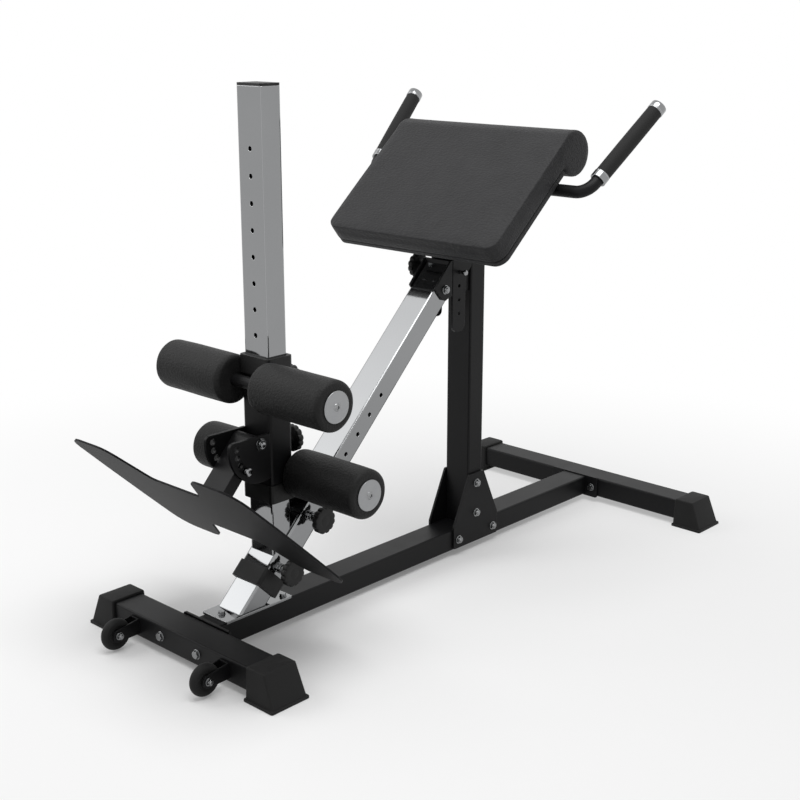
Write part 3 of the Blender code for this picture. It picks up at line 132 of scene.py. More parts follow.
@dataclass(frozen=True)
class Finish:
    """A surface: what it is made of and how it was made, with one small pattern of its own.

    The pattern is noise of a real size in millimetres that raises the surface. A slower one lightens the
    colour and moves the roughness. Finishes with another pattern give their own relief(). Where edge_mm is
    set, hard edges are shaded as rounded over that radius and painted in the edge colour: a painted highlight,
    which on the powder coats also stands for paler rubbed wear.
    """

    name: str
    slot: Slot
    colour: str
    light_colour: str
    roughness: float
    roughness_spread: float = 0.03
    metallic: float = 0.0
    ior: float = 1.5
    sheen: float = 0.0
    mottle_mm: float = 40.0
    grain_mm: float = 1.0
    relief_mm: float = 0.02
    edge_mm: float = 0.0
    edge_wear_and_highlight_colour: str = "000000"

    def relief(self, tree: bpy.types.NodeTree, place: bpy.types.NodeSocket) -> bpy.types.NodeSocket:
        """Height pattern of the surface, from 0 to 1."""
        grain = add_node(tree, "ShaderNodeTexNoise", {"Vector": place, "Scale": per_metre(self.grain_mm),
                                                      "Detail": 2.0, "Roughness": 0.55})
        return grain.outputs["Fac"]

    def tone(self, tree: bpy.types.NodeTree, place: bpy.types.NodeSocket) -> bpy.types.NodeSocket:
        """Share of the lighter colour over the surface, from 0 to 1.

        Args:
            tree: Tree of the material.
            place: Object coordinates.

        Returns:
            The share's socket.
        """
        mottle = add_node(tree, "ShaderNodeTexNoise", {"Vector": place, "Scale": per_metre(self.mottle_mm),
                                                       "Detail": 3.0, "Roughness": 0.6})
        spread = add_node(tree, "ShaderNodeMapRange", {"Value": mottle.outputs["Fac"], "From Min": NOISE_RANGE[0],
                                                       "From Max": NOISE_RANGE[1]})
        return spread.outputs["Result"]

    def edges(self, tree: bpy.types.NodeTree) -> tuple[bpy.types.NodeSocket, bpy.types.NodeSocket]:
        """Rounded normal at hard edges, and a mask that is 1 there: where both normals part.

        Args:
            tree: Tree of the material.

        Returns:
            The rounded normal's socket and the mask's.
        """
        rounded = add_node(tree, "ShaderNodeBevel", {"Radius": self.edge_mm * MILLIMETRE}, samples=6)
        flat = add_node(tree, "ShaderNodeNewGeometry")
        facing = add_node(tree, "ShaderNodeVectorMath", {0: rounded.outputs["Normal"], 1: flat.outputs["Normal"]},
                          operation="DOT_PRODUCT")
        mask = add_node(tree, "ShaderNodeMapRange", {"Value": facing.outputs["Value"], "From Min": EDGE_FACING[0],
                                                     "From Max": EDGE_FACING[1]})
        return rounded.outputs["Normal"], mask.outputs["Result"]

    def material(self) -> bpy.types.Material:
        """The finish's material, made the first time it is asked for.

        Returns:
            A node material that reads Object coordinates.
        """
        made = bpy.data.materials.get(self.name)
        if made:
            return made
        made = bpy.data.materials.new(self.name)
        made.use_nodes = True
        tree = made.node_tree
        tree.nodes.clear()
        place = add_node(tree, "ShaderNodeTexCoord").outputs["Object"]
        tone = self.tone(tree, place)
        colour = add_node(tree, "ShaderNodeMix", {"Factor": tone, "A": linear(self.colour),
                                                  "B": linear(self.light_colour)}, data_type="RGBA")
        rough = add_node(tree, "ShaderNodeMapRange", {"Value": tone, "To Min": self.roughness - self.roughness_spread,
                                                      "To Max": self.roughness + self.roughness_spread})
        bump = add_node(tree, "ShaderNodeBump", {"Height": self.relief(tree, place), "Strength": 1.0,
                                                 "Distance": self.relief_mm * MILLIMETRE})
        if self.edge_mm:
            normal, mask = self.edges(tree)
            tree.links.new(normal, bump.inputs["Normal"])
            # Painted highlight: the paler edge colour is mixed in along hard edges; on the powder coats it also
            # stands for rubbed wear
            colour = add_node(tree, "ShaderNodeMix", {"Factor": mask, "A": colour.outputs["Result"],
                                                      "B": linear(self.edge_wear_and_highlight_colour)}, data_type="RGBA")
        shader = add_node(tree, "ShaderNodeBsdfPrincipled", {
            "Base Color": colour.outputs["Result"], "Roughness": rough.outputs["Result"],
            "Normal": bump.outputs["Normal"], "Metallic": self.metallic, "IOR": self.ior,
            "Sheen Weight": self.sheen})
        add_node(tree, "ShaderNodeOutputMaterial", {"Surface": shader.outputs["BSDF"]})
        return made


@dataclass(frozen=True)
class GrainedSkin(Finish):
    """Embossed skin: soft cells with creases between them, drawn out across the machine by stretch."""

    # Sizes of the bending and of the finer noise in grains, and the finer noise's share of the height
    BEND = 2.5
    FINE = 0.4
    FINE_SHARE = 0.5

    stretch: float = 1.0

    def relief(self, tree: bpy.types.NodeTree, place: bpy.types.NodeSocket) -> bpy.types.NodeSocket:
        """Distance to the nearest cell's middle, bent by noise, with finer noise on top.

        Args:
            tree: Tree of the material.
            place: Object coordinates.

        Returns:
            The height's socket.
        """
        drawn = add_node(tree, "ShaderNodeMapping", {"Vector": place, "Scale": (1.0, 1.0 / self.stretch, 1.0)})
        bend = add_node(tree, "ShaderNodeTexNoise", {"Vector": drawn.outputs["Vector"],
                                                     "Scale": per_metre(self.grain_mm * self.BEND), "Detail": 1.0})
        away = add_node(tree, "ShaderNodeVectorMath", {0: bend.outputs["Color"],
                                                       1: (self.grain_mm * MILLIMETRE,) * 3}, operation="MULTIPLY")
        bent = add_node(tree, "ShaderNodeVectorMath", {0: drawn.outputs["Vector"], 1: away.outputs["Vector"]},
                        operation="ADD")
        cells = add_node(tree, "ShaderNodeTexVoronoi", {"Vector": bent.outputs["Vector"],
                                                        "Scale": per_metre(self.grain_mm)}, feature="F1")
        fine = add_node(tree, "ShaderNodeTexNoise", {"Vector": drawn.outputs["Vector"],
                                                     "Scale": per_metre(self.grain_mm * self.FINE), "Detail": 2.0})
        both = add_node(tree, "ShaderNodeMath", {0: fine.outputs["Fac"], 1: self.FINE_SHARE,
                                                 2: cells.outputs["Distance"]}, operation="MULTIPLY_ADD")
        return both.outputs["Value"]


@dataclass(frozen=True)
class WovenCover(Finish):
    """Plain weave: threads over and under each other, as on a dust cover."""

    # Radians that Blender's band texture turns over one unit at a scale of 1
    BAND_RATE = 20.0

    def relief(self, tree: bpy.types.NodeTree, place: bpy.types.NodeSocket) -> bpy.types.NodeSocket:
        """The product of two bands at right angles, each of which repeats every 2 pi grains.

        Args:
            tree: Tree of the material.
            place: Object coordinates.

        Returns:
            The height's socket.
        """
        scale = per_metre(self.grain_mm) / self.BAND_RATE
        bands = [add_node(tree, "ShaderNodeTexWave", {"Vector": place, "Scale": scale},
                          bands_direction=direction) for direction in ("X", "Y")]
        both = add_node(tree, "ShaderNodeMath", {0: bands[0].outputs["Fac"], 1: bands[1].outputs["Fac"]},
                        operation="MULTIPLY")
        return both.outputs["Value"]


# Powder coat on steel: a satin skin with a faint orange peel. On the edges its colour is paler: partly a thinner,
# rubbed coat, partly a painted highlight.
# Its IOR, and that of every black finish but the dust cover, lies below 1.5, matched to how little they mirror
POWDER_COAT = Finish("powder_coated_steel", Slot.STEEL, "0D0D0E", "101011", roughness=0.42, ior=1.25,
                     mottle_mm=90, grain_mm=1.3, relief_mm=0.006, edge_mm=1.4, edge_wear_and_highlight_colour="232324")
# The footplate's coat is more matt, so it mirrors less of the floor
MATT_POWDER_COAT = Finish("matt_powder_coated_steel", Slot.STEEL, "0E0E0F", "101011", roughness=0.50,
                          roughness_spread=0.0, ior=1.19, mottle_mm=90, grain_mm=1.3, relief_mm=0.004,
                          edge_mm=1.4, edge_wear_and_highlight_colour="232324")
# Bright chromium plate over polished tube: a mirror, a little softer where hands have wiped it, with a painted
# highlight in a paler colour along its edges
BRIGHT_CHROME = Finish("bright_chrome_plate", Slot.CHROME, "8B8C8D", "8D8E8F", roughness=0.075,
                       roughness_spread=0.015, metallic=1.0, mottle_mm=120, grain_mm=25, relief_mm=0.004,
                       edge_mm=1.6, edge_wear_and_highlight_colour="B4B5B6")
# Zinc plate on fasteners: duller than chromium, with a soft spangle
ZINC_PLATE = Finish("zinc_plated_steel", Slot.ZINC, "808183", "989999", roughness=0.21, metallic=1.0,
                    mottle_mm=3, grain_mm=0.8, relief_mm=0.006)
# Brushed aluminium discs: the brushing is too fine to show, so only its satin is drawn
SATIN_DISC = Finish("satin_aluminium", Slot.CHROME, "949597", "98999A", roughness=0.36, metallic=1.0,
                    mottle_mm=12, grain_mm=0.7, relief_mm=0.003)
# Injection moulded ABS: spark-eroded texture, fine and even, with a painted highlight in a paler grey along its edges
MOULDED_PLASTIC = Finish("moulded_abs", Slot.PLASTIC, "101010", "141414", roughness=0.48, ior=1.33,
                         mottle_mm=30, grain_mm=0.7, relief_mm=0.008, edge_mm=0.8, edge_wear_and_highlight_colour="1E1E1E")
# Moulded rubber: matt, with a little bloom
MOULDED_RUBBER = Finish("moulded_rubber", Slot.RUBBER, "121212", "171717", roughness=0.68, ior=1.30,
                        sheen=0.02, mottle_mm=18, grain_mm=1.0, relief_mm=0.015)
# Soft grip rubber: paler and more matt than the feet, wiped by hands
GRIP_RUBBER = Finish("soft_grip_rubber", Slot.RUBBER, "181818", "1D1D1D", roughness=0.75, ior=1.30,
                     sheen=0.03, mottle_mm=14, grain_mm=1.4, relief_mm=0.03)
# Closed-cell foam with a moulded skin: soft pebbles about 2 mm wide, drawn twice as coarse so that they show
FOAM_SKIN = GrainedSkin("skinned_foam", Slot.FOAM, "181818", "1E1E1E", roughness=0.54, ior=1.25,
                        sheen=0.01, mottle_mm=26, grain_mm=3.9, relief_mm=0.72, stretch=1.25)
# Upholstery vinyl: leather grain about 2 mm wide, drawn out across the pad and twice as coarse, so that it shows
VINYL = GrainedSkin("upholstery_vinyl", Slot.VINYL, "262627", "2D2D2E", roughness=0.52, ior=1.25,
                    mottle_mm=60, grain_mm=4.0, relief_mm=1.0, stretch=1.9)
# Woven polyester dust cover under the board: threads 1.4 mm apart, drawn about six times as coarse to show
DUST_COVER = WovenCover("woven_dust_cover", Slot.BOARD, "141414", "1C1C1C", roughness=0.85, sheen=0.15,
                        mottle_mm=35, grain_mm=1.4, relief_mm=0.10)


# Surfaces


@dataclass(frozen=True)
class Axes:
    """Right-handed axes in the row frame."""

    origin: tuple[float, float, float]
    x: tuple[float, float, float]
    y: tuple[float, float, float]
    z: tuple[float, float, float]

    def place(self, points: np.ndarray) -> np.ndarray:
        """Take points from these axes to the row frame: origin + px x + py y + pz z."""
        return np.asarray(points, float) @ np.array([self.x, self.y, self.z]) + np.array(self.origin)

    @staticmethod
    def along(origin: tuple[float, float, float], direction: tuple[float, float, float],
              side: tuple[float, float, float] = (0.0, 0.0, 1.0)) -> "Axes":
        """Axes whose Z points along a direction.

        Args:
            origin: Where the axes stand.
            direction: Where their Z points.
            side: Rough direction of their X; it may not be parallel to Z.

        Returns:
            The axes.
        """
        z = Vector(direction).normalized()
        x = (Vector(side) - z * Vector(side).dot(z)).normalized()
        return Axes(tuple(origin), tuple(x), tuple(z.cross(x)), tuple(z))


@dataclass
class Patch:
    """A grid of points that becomes quads; a row or column may close on itself."""

    points: np.ndarray
    wrap_rows: bool = False
    wrap_columns: bool = True

    def faces(self, start: int) -> np.ndarray:
        """Quads over the grid: (i, j), (i, j + 1), (i + 1, j + 1), (i + 1, j).

        Args:
            start: Number of the grid's first vertex.

        Returns:
            Array of four vertex numbers for each quad.
        """
        rows, columns = self.points.shape[:2]
        i, j = np.meshgrid(np.arange(rows - (not self.wrap_rows)), np.arange(columns - (not self.wrap_columns)),
                           indexing="ij")
        down, right = (i + 1) % rows, (j + 1) % columns
        quads = np.stack([i * columns + j, i * columns + right, down * columns + right, down * columns + j], -1)
        return quads.reshape(-1, 4) + start


def capped(points: np.ndarray) -> np.ndarray:
    """Close both ends of a tube-like grid with a row at the middle of each end."""
    first, last = (np.broadcast_to(row.mean(0), row.shape)[None] for row in (points[0], points[-1]))
    return np.concatenate([first, points, last])


def lathe(profile: list[tuple[float, float]] | np.ndarray, sides: int = 48,
          reach: np.ndarray | None = None) -> np.ndarray:
    """Grid turned about Z: (r cos t, r sin t, h) for each (r, h) of the profile and t round a turn.

    Args:
        profile: Radius and height of each row.
        sides: Points round the turn.
        reach: Factor on the radius for each row and angle, or for each angle.

    Returns:
        Grid of points.
    """
    profile = np.asarray(profile, float)
    turn = np.linspace(0, 2 * np.pi, sides, endpoint=False)
    radius = profile[:, :1] * (1.0 if reach is None else reach) + 0 * turn
    return np.stack([radius * np.cos(turn), radius * np.sin(turn), profile[:, 1:] + 0 * turn], -1)


def round_corner(centre: tuple[float, float], radius: float, start: float, end: float, steps: int = 6) -> np.ndarray:
    """Points on an arc in degrees: centre + radius (cos t, sin t)."""
    turn = np.radians(np.linspace(start, end, steps + 1))
    return np.stack([centre[0] + radius * np.cos(turn), centre[1] + radius * np.sin(turn)], -1)


def rounded_loop(half_x: float, half_y: float, radius: float, steps: int = 6,
                 end_radius: float | None = None) -> np.ndarray:
    """Loop of a rounded rectangle: four quarter arcs about its corners' centres.

    Args:
        half_x: Half its length.
        half_y: Half its width.
        radius: Radius of its corners.
        steps: Steps on each arc.
        end_radius: Radius of the two corners at its +X end, if they differ.

    Returns:
        Points of the loop.
    """
    end = radius if end_radius is None else end_radius
    corners = [(half_x - end, half_y - end, 0, end), (radius - half_x, half_y - radius, 90, radius),
               (radius - half_x, radius - half_y, 180, radius), (half_x - end, end - half_y, 270, end)]
    return np.concatenate([round_corner((x, y), bend, start, start + 90, steps) for x, y, start, bend in corners])


def sweep(path: np.ndarray, radius: float, sides: int = 32) -> np.ndarray:
    """Tube along a path in a plane of constant Z: p + radius (n cos t + z sin t), n across the path.

    Args:
        path: Points of its centre line.
        radius: Its radius.
        sides: Points round it.

    Returns:
        Grid of points.
    """
    ahead = np.gradient(path, axis=0)
    ahead /= np.linalg.norm(ahead, axis=1, keepdims=True)
    across = np.stack([-ahead[:, 1], ahead[:, 0], np.zeros(len(path))], -1)
    turn = np.linspace(0, 2 * np.pi, sides, endpoint=False)
    ring = across[:, None, :] * np.cos(turn)[None, :, None]
    ring = ring + np.array([0.0, 0.0, 1.0]) * np.sin(turn)[None, :, None]
    return path[:, None, :] + radius * ring


def hexagon(turn: np.ndarray) -> np.ndarray:
    """Reach of a hexagon whose corners are at reach 1, at each angle."""
    return math.cos(math.pi / 6) / np.cos((turn % (math.pi / 3)) - math.pi / 6)


# Chamfer of a hexagon head: its share of the head's height, then how far each row lies below the outer
# face, in shares of that, and the cone's reach there
CHAMFER_SHARE = 0.22
CHAMFER_ROWS = ((1.0, 1.0), (0.66, 0.965), (0.33, 0.925), (0.0, 0.87))
# Its flat face's reach, and the countersink of a nut: its reach over the hole, and its depth
FACE_REACH = 0.80
COUNTERSINK_REACH = 1.12
COUNTERSINK_DEPTH = 0.0004


def hexagon_prism(corner: float, low: float, high: float, hole: float = 0.0, sides: int = 72) -> np.ndarray:
    """Hexagon head from low to high, its outer face chamfered by a cone.

    The reach at each height is the smaller of the hexagon's and the cone's, so the cone leaves the
    curved edges that turned heads have.

    Args:
        corner: Reach of its corners.
        low: Height of its flat end.
        high: Height of its chamfered end.
        hole: Radius of the hole through it, or 0 for none.
        sides: Points round it.

    Returns:
        Grid of points.
    """
    turn = np.linspace(0, 2 * np.pi, sides, endpoint=False)
    six = corner * hexagon(turn)
    depth = (high - low) * CHAMFER_SHARE
    rows = []
    for height, cone in ((low, corner), *((high - depth * below, corner * reach) for below, reach in CHAMFER_ROWS)):
        reach = np.minimum(six, cone)
        rows.append(np.stack([reach * np.cos(turn), reach * np.sin(turn), 0 * turn + height], -1))
    sunk = [(hole * COUNTERSINK_REACH, high), (hole, high - COUNTERSINK_DEPTH)]
    inner = [(corner * FACE_REACH, high)] + (sunk if hole else [(0.0, high)])
    grid = np.concatenate([np.array(rows), lathe(inner, sides)])
    return np.concatenate([lathe([(hole if hole else 0.0, low)], sides), grid])


def solid_of(patches: list[Patch], name: str) -> bpy.types.Mesh:
    """Mesh of some closed patches, with doubles merged and faces pointing outwards.

    Args:
        patches: Closed grids, which may be separate shells.
        name: Name of the mesh.

    Returns:
        The mesh.
    """
    points = np.concatenate([patch.points.reshape(-1, 3) for patch in patches])
    starts = np.cumsum([0] + [patch.points.shape[0] * patch.points.shape[1] for patch in patches[:-1]])
    faces = np.concatenate([patch.faces(int(start)) for patch, start in zip(patches, starts)])
    mesh = bpy.data.meshes.new(name)
    mesh.from_pydata(points.tolist(), [], faces.tolist())
    bm = bmesh.new()
    bm.from_mesh(mesh)
    bmesh.ops.remove_doubles(bm, verts=bm.verts, dist=MERGE_DISTANCE)
    bmesh.ops.dissolve_degenerate(bm, dist=SHORTEST_EDGE, edges=bm.edges)
    bmesh.ops.recalc_face_normals(bm, faces=bm.faces)
    bm.to_mesh(mesh)
    bm.free()
    return mesh


def link(name: str, data: bpy.types.ID) -> bpy.types.Object:
    """Put a new object with some data in the scene.

    Args:
        name: Name of the object.
        data: Its mesh, light or camera.

    Returns:
        The new object.
    """
    made = bpy.data.objects.new(name, data)
    bpy.context.scene.collection.objects.link(made)
    return made


def add_piece(name: str, mesh: bpy.types.Mesh, finish: Finish, body: str, replaces: tuple[str, ...] = (),
              sharp: float = 32.0) -> bpy.types.Object:
    """Put a finished mesh in the scene as a piece that rides on a body.

    Args:
        name: Name of the piece.
        mesh: Its mesh, already in place in the row frame.
        finish: Its finish.
        body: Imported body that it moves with.
        replaces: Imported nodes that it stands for.
        sharp: Angle in degrees past which an edge stays sharp.

    Returns:
        The new object.
    """
    piece = link(name, mesh)
    mesh.materials.clear()
    mesh.materials.append(finish.material())
    mesh.shade_smooth()
    mesh.set_sharp_from_angle(angle=math.radians(sharp))
    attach(piece, body)
    if replaces:
        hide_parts(*replaces)
    log.info("piece %s: %d faces on body %s", name, len(mesh.polygons), body)
    return piece


def middle_of(node: str) -> tuple[np.ndarray, np.ndarray]:
    """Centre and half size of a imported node's box."""
    low, high = (np.array(corner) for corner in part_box(node))
    return (low + high) / 2, (high - low) / 2


def frame_point(x: float, y: float, z: float) -> tuple[float, float, float]:
    """Row-frame point of a place measured from the rear crossbeam."""
    return x - MIDDLE_X, y, z


# Fasteners


@dataclass
class Bolt:
    """Hexagon bolt about Z: a nut with the screw's end below the clamped part, a head above it."""

    low: float
    high: float
    radius: float = 0.005
    shank: bool = True
    nut: bool = True
    washer: float = 0.0013
    head: float = 0.0052
    spread: float = 1.75
    tail: float = 0.0024
    washer_spread: float = 2.05
    washer_edge: float = 0.0003
    pitch: float = 0.001
    thread_depth: float = 0.00035
    lead: float = 0.0008

    def patches(self) -> list[Patch]:
        """Grids of the washers, head, nut, thread and shank.

        Returns:
            One patch for each of them.
        """
        corner, flat, edge = self.radius * self.spread, self.radius * self.washer_spread, self.washer_edge
        head_low, nut_high = self.high + self.washer, self.low - self.washer
        made = [lathe([(0, self.high), (flat - edge, self.high), (flat, self.high + edge),
                       (flat, head_low - edge), (flat - edge, head_low), (0, head_low)])]
        made.append(hexagon_prism(corner, head_low, head_low + self.head))
        if self.nut:
            made.append(made[0] * [1, 1, -1] + [0, 0, self.low + self.high])
            end = nut_high - self.head - self.tail
            nut = hexagon_prism(corner, 0, self.head, hole=self.radius)
            made.append(nut * [1, 1, -1] + [0, 0, nut_high])
            made.append(self.thread(end, nut_high))
        if self.shank:
            made.append(lathe([(0, self.low), (self.radius, self.low), (self.radius, self.high), (0, self.high)], 24))
        return [Patch(grid) for grid in made]

    def thread(self, end: float, start: float) -> np.ndarray:
        """Screw end: the radius falls and rises once for each pitch, and tapers over the lead to 82 %.

        Args:
            end: Height of its free end.
            start: Height where it meets the clamped part.

        Returns:
            Grid of points.
        """
        height = np.linspace(end, start, 28)
        depth = self.thread_depth * (0.5 + 0.5 * np.cos((height - end) / self.pitch * 2 * np.pi))
        lead = np.clip((height - end) / self.lead, 0, 1)
        radius = (self.radius - depth) * (0.82 + 0.18 * lead)
        profile = np.stack([radius, height], -1)
        return lathe(np.concatenate([[[0, end]], profile, [[0, start]]]), 24)


class FastenerSet:
    """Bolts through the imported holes, and those that hold the flanges and the rail's foot."""

    # Packed bolts: node, radius, and the body they ride on
    THROUGH = (("upright_bolt_lower", 0.005, "frame"), ("upright_bolt_upper", 0.005, "frame"),
               ("beam_bolt_rear", 0.005, "frame"), ("beam_bolt_front", 0.005, "frame"),
               ("rail_bolt", 0.005, "frame"), ("pivot_bolt", 0.006, "roller_carriage"),
               ("wheel_axle_left", 0.004, "frame"), ("wheel_axle_right", 0.004, "frame"))
    # Length of a packed bolt's nut end and of its head
    PACKED_END = 0.0095
    PACKED_HEAD = 0.0065
    # Flange bolts: name, X, distance from the middle, height, and their clamped length along -X
    FLANGE = (("rear_flange_bolt", 0.0, 0.0575, 0.041, (-0.0403, 0.035)),
              ("front_flange_bolt", 1.325, 0.0535, 0.039, (-0.035, 0.0403)))
    # Bolts of the rail's foot plate: name, X and Y, then the height of the plate's top and their radius
    RAIL_FOOT = (("rail_foot_bolt_front", 0.076, 0.0), ("rail_foot_bolt_left", 0.2195, 0.0255),
                 ("rail_foot_bolt_right", 0.2195, -0.0255))
    RAIL_FOOT_TOP = 0.0703
    RAIL_FOOT_RADIUS = 0.004

    def build(self) -> None:
        """Make every bolt."""
        for node, radius, body in self.THROUGH:
            self.through_bolt(node, radius, body)
        for name, x, off, height, (low, high) in self.FLANGE:
            for side, sign in SIDES:
                self.loose_bolt(f"{name}_{side}", frame_point(x, sign * off, height), (-1, 0, 0), low, high)
        for name, x, y in self.RAIL_FOOT:
            self.loose_bolt(name, frame_point(x, y, 0), (0, 0, 1), BEAM_TOP, self.RAIL_FOOT_TOP,
                            radius=self.RAIL_FOOT_RADIUS, nut=False)

    def through_bolt(self, node: str, radius: float, body: str) -> None:
        """Bolt in place of a packed one, across the part with its nut on the -Y side.

        Args:
            node: Packed bolt.
            radius: Radius of its shank.
            body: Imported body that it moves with.
        """
        centre, _ = middle_of(node)
        low, high = (corner.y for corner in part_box(node))
        bolt = Bolt(low + self.PACKED_END, high - self.PACKED_HEAD, radius)
        axes = Axes.along((centre[0], 0, centre[2]), (0, 1, 0))
        self.finish(node.replace("bolt", "hex_bolt").replace("axle", "axle_bolt"), bolt, axes, body, (node,))

    def loose_bolt(self, name: str, origin: tuple[float, float, float], direction: tuple[float, float, float],
                   low: float, high: float, radius: float = 0.005, nut: bool = True) -> None:
        """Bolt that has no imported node: a head and a nut against the clamped faces.

        Args:
            name: Name of the piece.
            origin: Point on its axis that its lengths are measured from.
            direction: Where its head points.
            low: Clamped face on the nut's side.
            high: Clamped face on the head's side.
            radius: Radius of its thread.
            nut: Whether it has a nut.
        """
        self.finish(name, Bolt(low, high, radius, shank=False, nut=nut), Axes.along(origin, direction, (0, 1, 0)),
                    "frame", ())

    def finish(self, name: str, bolt: Bolt, axes: Axes, body: str, replaces: tuple[str, ...]) -> None:
        """Place a bolt and plate it."""
        patches = [Patch(axes.place(patch.points)) for patch in bolt.patches()]
        add_piece(name, solid_of(patches, name), ZINC_PLATE, body, replaces)


# Base


@dataclass
class RubberFoot:
    """Tapered cap over a crossbeam's end, standing on a thin lip."""

    lip: float = 0.004
    lip_height: float = 0.006
    spread: float = 0.007
    end_slope: float = 0.029
    back_slope: float = 0.003
    corner: float = 0.004
    crown_round: float = 0.0035
    wall: float = 0.0055
    sole_edge: float = 0.0008
    lip_edge: float = 0.0009
    groove: float = 0.0005
    groove_low: float = 0.0002
    groove_high: float = 0.0012
    pocket: tuple[float, float] = (0.0353, 0.0253)
    pocket_corner: float = 0.004
    pocket_middle: float = 0.040
    overshoot: float = 0.02

    def build(self, node: str) -> None:
        """Foot in place of a packed one.

        Rows are rounded rectangles; each row's half width, near end and far end run in a straight line
        from the lip to the crown, and the crown's edge is a quarter round.

        Args:
            node: Packed foot.
        """
        (low, high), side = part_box(node), np.sign(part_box(node)[0].y)
        centre_x, half = (low.x + high.x) / 2, (high.x - low.x) / 2
        near, far = sorted((abs(low.y), abs(high.y)))
        foot = np.array([half, near, far])
        waist = foot + [-self.lip, self.lip / 2, -self.lip]
        crown = foot + [-self.spread, self.back_slope, -self.end_slope]
        top = high.z
        draw_in = np.array([-1.0, 1.0, -1.0])
        rows = [(0.0, foot + draw_in * self.sole_edge), (self.sole_edge, foot),
                (self.lip_height - self.lip_edge, foot), (self.lip_height, foot + draw_in * self.lip_edge),
                (self.lip_height + self.groove_low, waist - draw_in * self.groove),
                (self.lip_height + self.groove_high, waist)]
        start = rows[-1][0]
        share = np.linspace(0.02, 1, 14)[1:]
        straight = top - self.crown_round - start
        rows += [(start + s * straight, waist + (crown - waist) * s * straight / (top - start)) for s in share]
        last = rows[-1][1]
        for t in np.radians([22.5, 45, 67.5, 90]):
            pull = self.crown_round * (1 - math.cos(t))
            rows.append((top - self.crown_round * (1 - math.sin(t)), last + [-pull, pull, -pull]))
        grid = []
        for height, (half_x, inner, outer) in rows:
            loop = rounded_loop(half_x, (outer - inner) / 2, self.corner)
            y = side * (loop[:, 1] + (outer + inner) / 2)
            grid.append(np.stack([loop[:, 0] + centre_x, y, np.full(len(loop), height)], -1))
        mesh = solid_of([Patch(capped(np.array(grid)))], node)
        foot_piece = add_piece(node.replace("foot_", "rubber_foot_"), mesh, MOULDED_RUBBER, "frame", (node,))
        self.hollow(foot_piece, centre_x, side * near, side * (far - self.end_slope - self.wall))

    def hollow(self, piece: bpy.types.Object, x: float, near: float, far: float) -> None:
        """Cut out the pocket that the beam's end goes into.

        Args:
            piece: The foot.
            x: X of the beam's middle.
            near: Y of the foot's open end.
            far: Y of the pocket's closed end.
        """
        loop = rounded_loop(*self.pocket, self.pocket_corner)
        ends = [near - math.copysign(self.overshoot, near), far]
        grid = [np.stack([loop[:, 0] + x, np.full(len(loop), end), loop[:, 1] + self.pocket_middle], -1)
                for end in ends]
        cutter = link("pocket", solid_of([Patch(capped(np.array(grid)))], "pocket"))
        cut = piece.modifiers.new("pocket", "BOOLEAN")
        cut.operation, cut.solver, cut.object = "DIFFERENCE", "EXACT", cutter
        freeze(piece)
        bpy.data.objects.remove(cutter)
        piece.data.set_sharp_from_angle(angle=math.radians(32))


def freeze(piece: bpy.types.Object) -> None:
    """Apply a piece's modifiers to its mesh.

    Args:
        piece: Piece whose mesh is changed.
    """
    bpy.context.view_layer.update()
    depsgraph = bpy.context.evaluated_depsgraph_get()
    mesh = bpy.data.meshes.new_from_object(piece.evaluated_get(depsgraph))
    piece.modifiers.clear()
    piece.data = mesh


@dataclass
class TransportWheel:
    """Solid rubber tyre on a moulded hub with a ring of small ribs."""

    radius: float = 0.033
    half_width: float = 0.010
    tyre_root: float = 0.0170
    bore: float = 0.0044
    ribs: int = 18
    tread_round: float = 0.0085
    tread_reach: float = 0.0083
    wall: float = 0.0072
    rib_height: float = 0.0012

    def build(self, side: str) -> None:
        """Tyre and hub in place of a packed wheel.

        The tread is an arc that reaches tread_reach to each side, drawn out to the wheel's half width.

        Args:
            side: Side of the part that the wheel is on.
        """
        node = f"wheel_{side}"
        centre, _ = middle_of(node)
        axes = Axes.along(tuple(centre), (0, 1, 0))
        tread = round_corner((self.radius - self.tread_round, 0.0), self.tread_round, 76, -76, 18)
        tread[:, 1] *= self.half_width / self.tread_reach
        wall = self.wall
        tyre = np.concatenate([[(self.tyre_root, 0.0066), (self.tyre_root + 0.0012, wall), (0.0215, 0.0086)], tread,
                               [(0.0215, -0.0086), (self.tyre_root + 0.0012, -wall), (self.tyre_root, -0.0066)]])
        tyre = Patch(axes.place(lathe(tyre, 64)), wrap_rows=True)
        add_piece(f"tyre_{side}", solid_of([tyre], f"tyre_{side}"), MOULDED_RUBBER, node, (node,), sharp=40)
        add_piece(f"wheel_hub_{side}", solid_of([Patch(axes.place(self.hub()), wrap_rows=True)], "hub"),
                  MOULDED_PLASTIC, node)

    def hub(self) -> np.ndarray:
        """Hub: a lathe grid whose face between two radii rises and falls once for each rib.

        Returns:
            Grid of points.
        """
        half = np.array([(self.bore, 0.0098), (0.0088, 0.0098), (0.0092, 0.0094), (0.0094, 0.0070), (0.0104, 0.0056),
                         (0.0112, 0.0056), (0.0118, 0.0056), (0.0148, 0.0056), (0.0154, 0.0056), (0.0158, 0.0068),
                         (0.01695, 0.0068)])
        profile = np.concatenate([half, half[::-1] * [1, -1]])
        grid = lathe(profile, self.ribs * 8)
        turn = np.linspace(0, 2 * np.pi, self.ribs * 8, endpoint=False)
        rib = self.rib_height * (np.cos(self.ribs * turn) > -0.1)
        on_ring = (profile[:, 0] > 0.0110) & (profile[:, 0] < 0.0150)
        grid[..., 2] += np.sign(profile[:, 1:]) * on_ring[:, None] * rib
        return grid


# Knobs and pins


